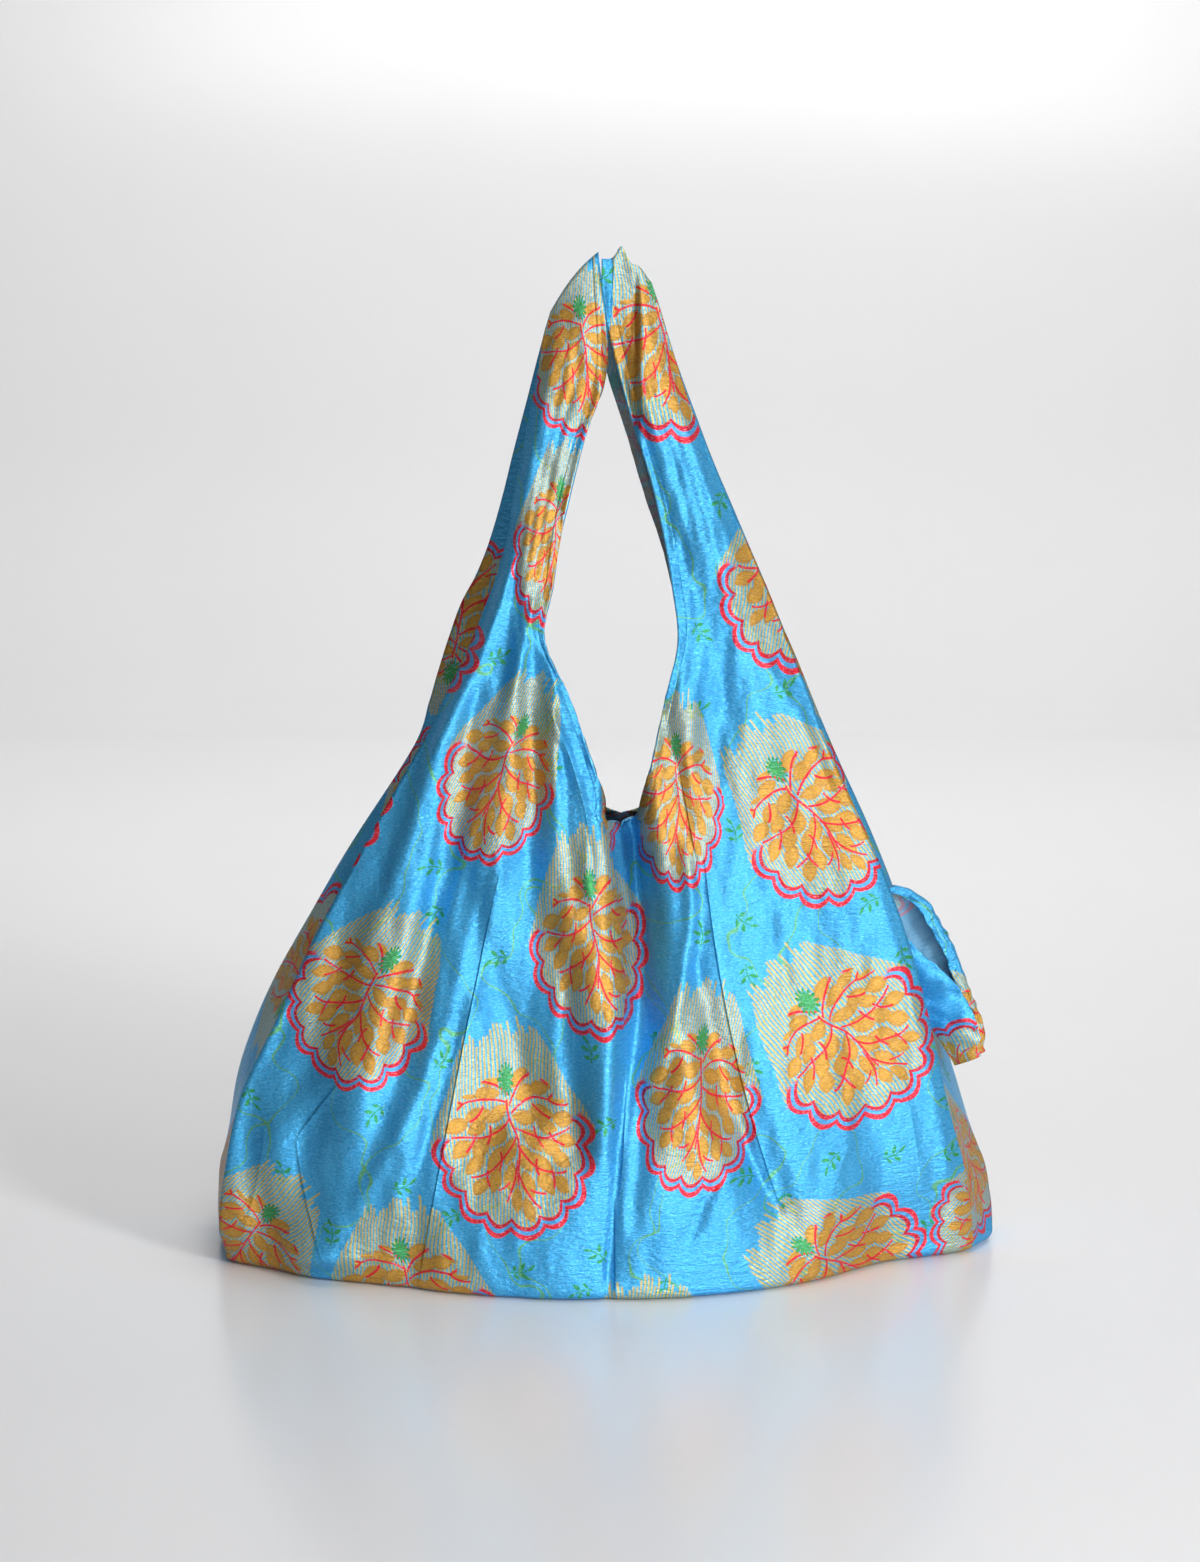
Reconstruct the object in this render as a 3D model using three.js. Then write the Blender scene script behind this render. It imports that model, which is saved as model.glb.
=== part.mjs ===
// A foldable shopping bag of satin brocade, standing open with its straps drawn up to two points.
// Millimetres, +Z up, the front faces -Y, and the origin is at the middle of the base.

import * as THREE from 'three';

// Driving sizes
const SHEET = 1.5;
const HALF_SHEET = SHEET / 2;
const SEAM_GAP = 0.25;
const FOLD_ROUND = 1.3;
const FOLD_RUN = 9;
const BASE_ROUND = 7;
const BASE_SEAM_SHORT = 12;
const BASE_SEAM_SPREAD = 0.86;
const STRAP_CROWN = 4;
const STRAP_FOOT = 290;
const STRAP_EASE = 90;
const TIP_BOW = 4;

// The tables are measured from the line under the drawn-up straps. The origin is the base's middle.
const MIDDLE_X = 3.3;
const MIDDLE_Y = -7.1;

const clamp01 = (v) => Math.min(1, Math.max(0, v));
const mix = (a, b, k) => a + (b - a) * k;
const smooth = (v) => {
  const k = clamp01(v);
  return k * k * (3 - 2 * k);
};

// Names the columns of a short table, so that each row reads as one section or fold
function rowsOf(columns, rows) {
  return rows.map((row) => Object.fromEntries(columns.map((name, i) => [name, row[i]])));
}

// Catmull-Rom value of one column at a fractional row
function along(rows, name, t) {
  const last = rows.length - 1;
  const at = (i) => rows[Math.min(last, Math.max(0, i))][name];
  const i = Math.min(last - 1, Math.max(0, Math.floor(t)));
  const k = t - i;
  const before = i > 0 ? at(i - 1) : 2 * at(0) - at(1);
  const after = i + 2 <= last ? at(i + 2) : 2 * at(last) - at(last - 1);
  const rise = (at(i + 1) - before) / 2;
  const fall = (after - at(i)) / 2;
  const square = k * k;
  const cube = square * k;
  return (
    (2 * cube - 3 * square + 1) * at(i) +
    (cube - 2 * square + k) * rise +
    (3 * square - 2 * cube) * at(i + 1) +
    (cube - square) * fall
  );
}

// Value of one column where the z column, which rises from row to row, has the given height
function atHeight(rows, name, z) {
  const last = rows.length - 1;
  if (z <= rows[0].z) return rows[0][name];
  if (z >= rows[last].z) return rows[last][name];
  const i = rows.findIndex((row) => row.z > z) - 1;
  return along(rows, name, i + (z - rows[i].z) / (rows[i + 1].z - rows[i].z));
}

// Where the pressed fold of each quarter runs, from the base to the strap top.
// The first eight rows belong to the body, the rest to the strap.
const FOLD = ['x', 'y', 'z'];
const foldFrontLeft = rowsOf(FOLD, [
  [-222, -50, 7], [-225, -58, 28], [-221, -62, 58], [-211, -62, 104],
  [-189, -60, 151], [-166, -56, 200], [-137, -48, 253], [-112, -42, 297],
  [-101, -39, 316], [-92, -37, 335], [-79, -33, 361], [-69, -29, 385], [-61, -27, 406],
  [-54, -24, 430], [-50, -21, 456], [-43, -16, 492], [-37, -12, 521], [-33, -9, 546], [-29, -6, 560],
]);
const foldFrontRight = rowsOf(FOLD, [
  [224, -26, 8], [221, -34, 30], [216, -42, 58], [205, -50, 98],
  [194, -54, 146], [181, -53, 194], [164, -49, 240], [141, -43, 291],
  [130, -40, 317], [121, -36, 342], [113, -33, 361], [104, -29, 384], [96, -26, 403],
  [86, -23, 426], [75, -19, 450], [65, -17, 475], [52, -13, 508], [42, -10, 539], [35, -8, 562],
  [30, -6, 577],
]);
const foldRearLeft = rowsOf(FOLD, [
  [-230, 40, 7], [-231, 48, 28], [-229, 54, 58], [-222, 57, 98],
  [-203, 57, 146], [-177, 53, 193], [-152, 47, 236], [-113, 40, 297],
  [-103, 37, 325], [-98, 35, 342], [-91, 32, 364], [-83, 29, 386], [-74, 27, 403],
  [-66, 25, 423], [-58, 22, 450], [-51, 18, 478], [-43, 13, 508], [-36, 9, 535], [-29, 6, 560],
]);
const foldRearRight = rowsOf(FOLD, [
  [238, 30, 8], [236, 36, 30], [229, 42, 56], [216, 48, 100],
  [199, 52, 148], [184, 52, 196], [166, 48, 242], [145, 44, 288],
  [132, 40, 318], [119, 34, 350], [109, 31, 373], [100, 28, 395], [90, 25, 418],
  [78, 21, 446], [66, 18, 474], [55, 14, 503], [45, 11, 530], [36, 8, 558], [30, 6, 577],
]);

// The line of each wall's greatest bow. Up to the neck, in its first eight rows, it is the panel's
// middle line, row for row with the folds. Above the neck it only sets how deep the straps lie.
const bowFront = rowsOf(FOLD, [
  [3, -131, 7], [4, -131, 24], [8, -129, 50], [14, -122, 88],
  [20, -112, 126], [20, -100, 166], [16, -88, 210], [12, -74, 262],
  [10, -66, 300], [8, -57, 340], [5, -48, 385], [3, -39, 430], [1, -29, 480], [0, -19, 530],
  [0, -12, 565], [0, -7, 596],
]);
const bowRear = rowsOf(FOLD, [
  [4, 110, 7], [4, 112, 24], [5, 112, 50], [6, 108, 88],
  [8, 102, 126], [11, 92, 166], [13, 80, 210], [13, 66, 254],
  [12, 58, 300], [9, 51, 340], [6, 43, 385], [3, 35, 430], [1, 26, 480], [0, 17, 530],
  [0, 11, 565], [0, 7, 596],
]);

// The hemmed edge of each strap from the neck up, row for row with the strap rows of the folds
const EDGE = ['x', 'z'];
const hemFrontLeft = rowsOf(EDGE, [
  [12, 262], [3, 268], [2, 284], [-8, 314], [-19, 344], [-32, 373],
  [-27, 404], [-21, 440], [-9, 487], [-2, 519], [-2, 552], [-3, 595],
]);
const hemFrontRight = rowsOf(EDGE, [
  [12, 262], [21, 268], [25, 285], [32, 314], [39, 346], [45, 373], [42, 402], [37, 432],
  [29, 466], [18, 500], [8, 536], [2, 566], [1, 591],
]);
const hemRearLeft = rowsOf(EDGE, [
  [13, 254], [3, 254], [-4, 272], [-13, 299], [-23, 328], [-33, 352], [-36, 385], [-28, 428],
  [-17, 470], [-8, 510], [-4, 550], [-3, 592],
]);
const hemRearRight = rowsOf(EDGE, [
  [13, 254], [23, 254], [30, 266], [38, 294], [44, 323], [50, 356], [51, 378], [46, 413],
  [37, 450], [25, 490], [11, 525], [3, 556], [1, 590],
]);

// The side seams in the middle of the gussets, tucked in between the folds
const seamLeft = rowsOf(['z', 'x'], [
  [7, -231], [30, -231], [58, -227], [100, -207], [150, -176], [200, -139], [250, -101], [300, -64],
  [335, -45], [361, -39], [385, -38], [405, -36], [430, -32], [456, -27], [492, -19], [521, -12],
  [546, -11], [575, -13], [592, -12],
]);
const seamRight = rowsOf(['z', 'x'], [
  [7, 238], [30, 236], [58, 229], [100, 207], [150, 181], [200, 152], [250, 122], [300, 95],
  [335, 82], [361, 77], [384, 72], [403, 68], [426, 62], [450, 52], [475, 43], [508, 32],
  [539, 22], [562, 16], [592, 12],
]);

// The main folds of each wall: where they run, how wide they are and how far they stand out.
// A negative height is a trough. fadeTop and fadeFoot are the lengths over which they die away.
const CREASE = ['xTop', 'zTop', 'xMiddle', 'zMiddle', 'xFoot', 'zFoot',
  'widthTop', 'widthFoot', 'heightTop', 'heightFoot', 'fadeTop', 'fadeFoot'];
const creasesFront = rowsOf(CREASE, [
  [12, 300, 22, 165, 8, 30, 12, 16, -21, -5, 1, 40],
  [2, 300, 9, 190, 9, 60, 8, 16, 5, 3, 30, 50],
  [27, 300, 31, 200, 26, 80, 9, 16, 5, 3, 30, 50],
  [-32, 521, -100, 262, -138, 110, 9, 20, 4, 8, 40, 60],
  [-46, 400, -55, 293, -104, 90, 8, 20, 4, 9, 60, 70],
  [-76, 330, -84, 262, -112, 150, 8, 14, -5, -6, 60, 60],
  [-26, 345, -23, 288, 4, 120, 8, 14, 5, 6, 50, 60],
  [-39, 320, -38, 262, -40, 130, 9, 18, -6, -6, 60, 60],
  [44, 360, 58, 255, 52, 120, 9, 18, 6, 7, 60, 60],
  [74, 339, 56, 226, 104, 50, 12, 13, -4, -9, 60, 40],
  [58, 492, 84, 349, 128, 200, 12, 34, 4, 8, 60, 90],
  [140, 290, 150, 230, 160, 110, 14, 24, -4, -5, 60, 50],
  [164, 230, 172, 163, 178, 60, 14, 22, 3, 6, 50, 40],
  [-150, 190, -166, 120, -178, 40, 12, 22, -4, -8, 60, 30],
  [-120, 165, -146, 90, -158, 20, 12, 22, 2, 7, 60, 20],
  [-96, 100, -103, 60, -106, 20, 8, 10, -3, -5, 50, 20],
  [150, 120, 140, 70, 132, 20, 12, 22, 3, 5, 60, 20],
  [160, 110, 166, 60, 168, 10, 24, 34, -3, -19, 40, 12],
]);
const creasesRear = rowsOf(CREASE, [
  [13, 290, 10, 170, 4, 40, 14, 22, -8, -4, 1, 60],
  [-24, 340, -34, 230, -40, 70, 10, 26, 6, 8, 60, 60],
  [-70, 340, -96, 220, -120, 60, 12, 28, -6, -9, 60, 50],
  [40, 370, 58, 240, 66, 80, 12, 28, 6, 9, 60, 60],
  [88, 340, 104, 230, 128, 60, 12, 26, -5, -8, 60, 50],
  [130, 260, 150, 160, 168, 50, 14, 26, 4, 6, 60, 40],
  [-140, 240, -160, 150, -172, 50, 14, 24, 4, 6, 60, 40],
]);

// The stow pouch: cloth doubled around a line down the side, drawn together at both ends.
// Each section lies across that line, at a distance from its top: the lip is the near edge, the rim
// the hemmed far edge, deep the fold tucked in at the side seam, open how far the layers stand apart.
const POUCH_TOP = new THREE.Vector3(172, 0, 217);
const POUCH_FOOT = new THREE.Vector3(222, 0, 113);
const POUCH_SHEET = 1.2;
const POUCH_HEM = 7;
const pouchSections = rowsOf(['z', 'rim', 'lip', 'deep', 'open'], [
  [0, 5, 1, -12, 0.35], [6, 12, -2, -19, 0.6], [18, 18.5, -3, -21.6, 0.9], [32, 20, -1, -21.2, 1],
  [46, 21, 3, -20, 1], [62, 19, 7, -17, 0.85], [78, 17, 8, -14, 0.75], [95, 16.5, 6, -10, 0.8],
  [106, 14, 4, -8, 0.6], [112, 6, 0, -5, 0.35],
]);
const pouchOutline = rowsOf(['from', 'to', 'share', 'apart'], [
  ['lip', 'lip', 0, -13], ['lip', 'deep', 0.3, -13], ['lip', 'deep', 0.65, -8],
  ['lip', 'deep', 0.9, -2.8], ['lip', 'deep', 1, 0], ['deep', 'rim', 0.12, 3.5],
  ['deep', 'rim', 0.4, 8], ['deep', 'rim', 0.7, 10], ['deep', 'rim', 0.92, 8],
  ['deep', 'rim', 1, 3.5], ['deep', 'rim', 0.96, -1.2],
]);
const POUCH_RUFFLES = [{ every: 21, high: 1.3, from: 1 }, { every: 13, high: 0.8, from: 4 }];

// Rows below the wall: the flat base from its seam outwards, then the round into the wall
const BODY_ROWS = 7;
const BASE_STEPS = [0, 0.35, 0.7, 1];
const ROUND_STEPS = [0.4, 0.75];

// How far a crease pushes the wall outwards at a place on it
function pushOf(creases, x, z) {
  let push = 0;
  for (const c of creases) {
    if (z > c.zTop + c.fadeTop || z < c.zFoot - c.fadeFoot) continue;
    const upper = smooth((c.zTop + c.fadeTop - z) / c.fadeTop);
    const lower = smooth((z - c.zFoot + c.fadeFoot) / c.fadeFoot);
    const k = (c.zTop - z) / (c.zTop - c.zFoot);
    const bend = (c.zTop - c.zMiddle) / (c.zTop - c.zFoot);
    const sway = (c.xMiddle - mix(c.xTop, c.xFoot, bend)) / (bend * (1 - bend));
    const inside = clamp01(k);
    const centre = mix(c.xTop, c.xFoot, k) + sway * inside * (1 - inside);
    const width = mix(c.widthTop, c.widthFoot, inside);
    const u = (x - centre) / width;
    push += mix(c.heightTop, c.heightFoot, inside) * upper * lower * Math.exp(-u * u);
  }
  return push;
}

// One quarter of the bag: half a panel, from the side seam around the fold to the middle or the hem.
// face is -1 at the front and 1 at the rear.
function quarter({ fold, bow, hem, seam, creases, face }) {
  const strapRows = fold.length - 1 - BODY_ROWS;
  const hemRows = hem.length - 1;

  const foldAt = (t) => new THREE.Vector3(...FOLD.map((name) => along(fold, name, t)));
  const innerAt = (t) => {
    const up = ((t - BODY_ROWS) / strapRows) * hemRows;
    const [x, z] = EDGE.map((name) => (up > 0 ? along(hem, name, up) : along(bow, name, t)));
    return { x, z };
  };

  // A place on the wall: s runs from the fold, 0, to the middle line or the hem, 1
  const wall = (t, s) => {
    const a = foldAt(t);
    const b = innerAt(t);
    const tip = smooth((t - fold.length + 3) / 2);
    const x = mix(a.x, b.x, s);
    const z = mix(a.z, b.z, s) + TIP_BOW * tip * Math.sin(Math.PI * s);
    const foldX = atHeight(fold, 'x', z);
    const inward = clamp01((x - foldX) / (atHeight(bow, 'x', z) - foldX));
    const depth = mix(atHeight(fold, 'y', z), atHeight(bow, 'y', z), Math.sin((inward * Math.PI) / 2));
    const strap = smooth((z - STRAP_FOOT) / STRAP_EASE) * (1 - 0.7 * tip);
    const off = smooth((s * Math.hypot(b.x - a.x, b.z - a.z)) / FOLD_RUN);
    const crown = STRAP_CROWN * strap * Math.sin(Math.PI * s);
    const lift = crown + off * (FOLD_ROUND + pushOf(creases, x, z) * (1 - tip));
    return new THREE.Vector3(x, depth + face * lift, z);
  };

  // A place on the gusset half: u runs from the fold, 0, to the side seam, 1
  const gusset = (t, u) => {
    const a = foldAt(t);
    const b = innerAt(t);
    const share = (atHeight(seam, 'x', a.z) - a.x) / (b.x - a.x);
    const z = mix(a.z, mix(a.z, b.z, share), smooth(a.z / 100));
    const x = atHeight(seam, 'x', z);
    const tucked = smooth((z - 40) / 60);
    const y = face * (SEAM_GAP + HALF_SHEET * tucked);
    const depth = Math.hypot(x - a.x, y - a.y);
    const off = smooth((u * depth) / FOLD_RUN) * (1 - u);
    return new THREE.Vector3(mix(a.x, x, u), mix(a.y, y, u) - face * FOLD_ROUND * off, mix(a.z, z, u));
  };

  const place = (t, c) => (c < 0 ? gusset(t, -c) : wall(t, c));

  // The base and the round above it follow the wall's lowest row in to the seam across the base
  const corner = Math.abs(place(0, -1).x) - BASE_SEAM_SHORT;
  const seamAtFold = corner * BASE_SEAM_SPREAD;
  const base = (k, c) => {
    const rim = place(0, c);
    const reach = c < 0 ? mix(seamAtFold, corner, -c) : seamAtFold * (rim.x / place(0, 0).x);
    const x = c < 0 ? Math.sign(rim.x) * reach : Math.sign(place(0, 0).x) * reach;
    const end = new THREE.Vector3(x, face * SEAM_GAP, HALF_SHEET);
    const edge = rim.clone().sub(end);
    edge.setLength(edge.length() - Math.min(BASE_ROUND, edge.length() / 2)).add(end);
    return new THREE.Vector3(mix(end.x, edge.x, k), mix(end.y, edge.y, k), HALF_SHEET);
  };
  const round = (k, c) => {
    const from = base(1, c);
    const rim = place(0, c);
    const turn = (k * Math.PI) / 2;
    return new THREE.Vector3(
      mix(from.x, rim.x, Math.sin(turn)),
      mix(from.y, rim.y, Math.sin(turn)),
      mix(from.z, rim.z, 1 - Math.cos(turn)),
    );
  };
  return { place, base, round, rows: fold.length - 1 };
}

// Both quarters of a panel as one net of points, sharing the middle line below the neck
function panelNet(left, right, columns, bodySteps, strapSteps) {
  const points = [];
  const faces = [];
  const net = [left, right].map(() => []);
  const shared = [];
  const add = (p) => points.push(p) - 1;

  [left, right].forEach((q, side) => {
    const rows = [
      ...BASE_STEPS.map((k) => (c) => q.base(k, c)),
      ...ROUND_STEPS.map((k) => (c) => q.round(k, c)),
    ];
    for (let i = 0; i <= bodySteps; i += 1) {
      rows.push((c) => q.place((BODY_ROWS * i) / bodySteps, c));
    }
    const neckRow = rows.length - 1;
    for (let i = 1; i <= strapSteps; i += 1) {
      rows.push((c) => q.place(mix(BODY_ROWS, q.rows, i / strapSteps), c));
    }
    rows.forEach((row, j) => {
      net[side].push(
        columns.map((c, i) => {
          const middle = i === columns.length - 1 && j <= neckRow;
          if (middle && side === 1) return shared[j];
          const index = add(row(c));
          if (middle) shared[j] = index;
          return index;
        }),
      );
    });
    for (let j = 0; j < rows.length - 1; j += 1) {
      for (let i = 0; i < columns.length - 1; i += 1) {
        const [a, b] = [net[side][j][i], net[side][j][i + 1]];
        const [d, e] = [net[side][j + 1][i], net[side][j + 1][i + 1]];
        faces.push(side === 0 ? [a, b, e, d] : [b, a, d, e]);
      }
    }
  });
  return { points, faces };
}

// Gives a net of points its thickness: both skins and a strip along every open edge
function sheetGeometry({ points, faces }, thick, flip) {
  const triangles = [];
  for (const [a, b, c, d] of faces) {
    const short = points[a].distanceTo(points[c]) < points[b].distanceTo(points[d]);
    const pair = short ? [[a, b, c], [a, c, d]] : [[a, b, d], [b, c, d]];
    pair.forEach((t) => triangles.push(flip ? [t[0], t[2], t[1]] : t));
  }
  const normals = points.map(() => new THREE.Vector3());
  for (const [a, b, c] of triangles) {
    const across = points[b].clone().sub(points[a]);
    const n = across.cross(points[c].clone().sub(points[a])).normalize();
    [a, b, c].forEach((i) => normals[i].add(n));
  }
  normals.forEach((n) => n.normalize());

  const count = points.length;
  const position = new Float32Array(count * 6);
  points.forEach((p, i) => {
    p.clone().addScaledVector(normals[i], thick / 2).toArray(position, i * 3);
    p.clone().addScaledVector(normals[i], -thick / 2).toArray(position, (count + i) * 3);
  });

  const index = [];
  const edges = new Map();
  for (const [a, b, c] of triangles) {
    index.push(a, b, c, count + a, count + c, count + b);
    [[a, b], [b, c], [c, a]].forEach(([i, j]) => {
      if (!edges.delete(`${j} ${i}`)) edges.set(`${i} ${j}`, [i, j]);
    });
  }
  for (const [i, j] of edges.values()) {
    index.push(i, count + j, j, i, count + i, count + j);
  }
  const geometry = new THREE.BufferGeometry();
  geometry.setAttribute('position', new THREE.BufferAttribute(position, 3));
  geometry.setIndex(index);
  geometry.computeVertexNormals();
  return geometry;
}

// Columns from the side seam, -1, over the fold, 0, to the middle line or the hem, 1
function columnsOf(gussetSteps, wallSteps, nearFold) {
  const columns = [];
  for (let i = gussetSteps; i > 0; i -= 1) columns.push(-Math.pow(i / gussetSteps, 1.15));
  for (let i = 0; i <= wallSteps; i += 1) {
    const k = i / wallSteps;
    columns.push(k + nearFold * Math.sin(2 * Math.PI * k) * k * (1 - k));
  }
  return columns;
}

const satin = new THREE.MeshStandardMaterial({ color: 0x2f9fdc, roughness: 0.42, metalness: 0.05 });
const satinBack = new THREE.MeshStandardMaterial({ color: 0x2b93cf, roughness: 0.45, metalness: 0.05 });
const pouchCloth = new THREE.MeshStandardMaterial({ color: 0x4f9fc8, roughness: 0.5, metalness: 0.05 });

function frontPanel() {
  const common = { bow: bowFront, creases: creasesFront, face: -1 };
  const left = quarter({ ...common, fold: foldFrontLeft, hem: hemFrontLeft, seam: seamLeft });
  const right = quarter({ ...common, fold: foldFrontRight, hem: hemFrontRight, seam: seamRight });
  const net = panelNet(left, right, columnsOf(5, 18, 0.25), 24, 20);
  const mesh = new THREE.Mesh(sheetGeometry(net, SHEET, false), satin);
  mesh.name = 'front_panel';
  return mesh;
}

function backPanel() {
  const common = { bow: bowRear, creases: creasesRear, face: 1 };
  const left = quarter({ ...common, fold: foldRearLeft, hem: hemRearLeft, seam: seamLeft });
  const right = quarter({ ...common, fold: foldRearRight, hem: hemRearRight, seam: seamRight });
  const net = panelNet(left, right, columnsOf(4, 11, 0.1), 18, 16);
  const mesh = new THREE.Mesh(sheetGeometry(net, SHEET, true), satinBack);
  mesh.name = 'back_panel';
  return mesh;
}

// A place on the pouch: v runs down its line from 0 to 1, r counts rows of its outline
function pouchPoint(v, r) {
  const down = POUCH_FOOT.clone().sub(POUCH_TOP);
  const z = v * down.length();
  const run = down.normalize();
  const out = new THREE.Vector3(-run.z, 0, run.x);
  const at = Object.fromEntries(
    ['rim', 'lip', 'deep', 'open'].map((name) => [name, atHeight(pouchSections, name, z)]),
  );
  const hemRow = pouchOutline.length;
  const spot = (row) => {
    if (row >= hemRow) return { out: at.rim - POUCH_HEM, apart: -2 };
    const { from, to, share, apart } = pouchOutline[Math.max(0, row)];
    return { out: mix(at[from], at[to], share), apart };
  };
  const spots = Array.from({ length: hemRow + 1 }, (_, row) => spot(row));
  const ruffle = POUCH_RUFFLES.reduce(
    (sum, { every, high, from }) => sum + high * Math.sin((2 * Math.PI * z) / every + from + r / 3),
    0,
  );
  const freedom = smooth(v / 0.12) * smooth((1 - v) / 0.12) * smooth(Math.abs(r - 4) / 3);
  const across = along(spots, 'apart', r) * at.open + ruffle * freedom;
  return POUCH_TOP.clone()
    .addScaledVector(run, z)
    .addScaledVector(out, along(spots, 'out', r))
    .add(new THREE.Vector3(0, across, 0));
}

function stowPouch() {
  const [down, around] = [24, 22];
  const points = [];
  const faces = [];
  for (let j = 0; j <= down; j += 1) {
    for (let i = 0; i <= around; i += 1) {
      points.push(pouchPoint(j / down, (i / around) * pouchOutline.length));
      if (i === 0 || j === 0) continue;
      const [c, b] = [j * (around + 1) + i, (j - 1) * (around + 1) + i];
      faces.push([b - 1, b, c, c - 1]);
    }
  }
  const mesh = new THREE.Mesh(sheetGeometry({ points, faces }, POUCH_SHEET, false), pouchCloth);
  mesh.name = 'stow_pouch';
  return mesh;
}

const bag = new THREE.Group();
bag.add(frontPanel(), backPanel(), stowPouch());
bag.position.set(-MIDDLE_X, -MIDDLE_Y, 0);
export default bag;
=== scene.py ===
import math
import bpy
import numpy as np
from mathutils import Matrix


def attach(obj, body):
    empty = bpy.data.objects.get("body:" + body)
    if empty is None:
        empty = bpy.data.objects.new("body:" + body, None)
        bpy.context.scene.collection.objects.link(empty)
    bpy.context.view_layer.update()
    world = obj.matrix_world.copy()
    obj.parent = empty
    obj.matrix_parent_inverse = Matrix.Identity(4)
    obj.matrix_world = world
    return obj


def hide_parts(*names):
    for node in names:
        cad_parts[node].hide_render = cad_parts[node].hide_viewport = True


# A foldable shopping bag of satin brocade, standing open with its straps drawn up to two points.
# The tables are in millimetres, measured as in the part's source, and the scene is in metres.

MM = 0.001
MIDDLE = np.array([3.3, -7.1, 0.0])
SEAM_GAP = 0.25
HALF_SHEET = 0.75
FOLD_ROUND = 1.3
FOLD_RUN = 9
BASE_ROUND = 7
BASE_SEAM_SHORT = 12
BASE_SEAM_SPREAD = 0.86
STRAP_CROWN = 4
STRAP_FOOT = 290
STRAP_EASE = 90
TIP_BOW = 4
TIP_RAISE = 9
BODY_ROWS = 7
HEM = 6.5
CLOTH = 0.25
HEM_SWELL = 0.55
GUSSET_WAVE = 1.3
TUCK_FROM, TUCK_RUN = 40, 60
# How deep the looks' folds are: the solids' folds on the left and on the right, and the finer ones,
# which lean to the left by a share of their width
FOLD_DEPTH = 1.3
FOLD_DEPTH_RIGHT = 0.75
RIGHT_FROM, RIGHT_RUN = 70, 50
FINE_DEPTH = 1.3
FINE_LEAN = 0.65
# The height of each kind of small wave on the walls, and of the hem's roll
WAVE_HIGH, RIPPLE_HIGH, STRAP_FOLD_HIGH, CRINKLE_HIGH, PUCKER_HIGH = 0.6, 0.34, 0.3, 0.3, 0.7
ROLL_HIGH, ROLL_SWAY, ROLL_PITCH, ROLL_REACH = 1.1, 0.7, 5.5, 8
PUCKER_REACH = 9
STRAP_WIDE = 70
# The folds come in over these lengths: from the foot, into the gusset and along its foot
FOOT_EASE, GUSSET_EASE, GUSSET_FOOT = 18, 40, 100
# Maps hold places in these units, and this value where there is nothing
MAP_UNIT, NOTHING = 0.01, 9.0
FAR_FROM_HEM = 99.0

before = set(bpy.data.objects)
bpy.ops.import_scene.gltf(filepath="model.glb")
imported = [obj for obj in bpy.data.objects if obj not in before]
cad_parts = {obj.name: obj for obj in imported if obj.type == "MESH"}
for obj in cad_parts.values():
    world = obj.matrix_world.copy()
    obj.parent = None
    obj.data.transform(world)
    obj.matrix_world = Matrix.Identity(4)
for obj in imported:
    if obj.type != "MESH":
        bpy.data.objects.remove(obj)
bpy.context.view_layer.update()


# Small maths

def clamp01(v):
    return np.clip(v, 0.0, 1.0)


def mix(a, b, k):
    return a + (b - a) * k


def smooth(v):
    k = clamp01(v)
    return k * k * (3 - 2 * k)


def rows_of(columns, rows):
    values = np.array(rows, float)
    return {name: values[:, i] for i, name in enumerate(columns)}


def each(columns, rows):
    return [dict(zip(columns, row)) for row in rows]


def along(column, t):
    last = len(column) - 1
    i = np.clip(np.floor(t).astype(int), 0, last - 1)
    k = t - i
    more = np.concatenate([[2 * column[0] - column[1]], column, [2 * column[-1] - column[-2]]])
    before, at, to, after = more[i], more[i + 1], more[i + 2], more[i + 3]
    rise, fall = (to - before) / 2, (after - at) / 2
    square, cube = k * k, k * k * k
    return ((2 * cube - 3 * square + 1) * at + (cube - 2 * square + k) * rise
            + (3 * square - 2 * cube) * to + (cube - square) * fall)


def at_height(table, name, z):
    heights = table["z"]
    z = np.clip(z, heights[0], heights[-1])
    i = np.clip(np.searchsorted(heights, z, side="right") - 1, 0, len(heights) - 2)
    return along(table[name], i + (z - heights[i]) / (heights[i + 1] - heights[i]))


class Waves:
    """A smooth random field: a few sine waves of given lengths, all seeded."""

    def __init__(self, seed, count, long_x, long_z, spread=0.5):
        rng = np.random.default_rng(seed)
        turn = 2 * math.pi
        self.kx = turn / long_x * rng.uniform(1 - spread, 1 + spread, count) * rng.choice([-1, 1], count)
        self.kz = turn / long_z * rng.uniform(1 - spread, 1 + spread, count)
        self.start = rng.uniform(0, turn, count)
        self.scale = 1 / math.sqrt(count / 2)

    def __call__(self, x, z):
        total = 0
        for kx, kz, start in zip(self.kx, self.kz, self.start):
            total = total + np.sin(kx * x + kz * z + start)
        return total * self.scale


# The bag's lines, as in the part's source. Only the hems differ from it, by up to 10 mm.

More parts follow.
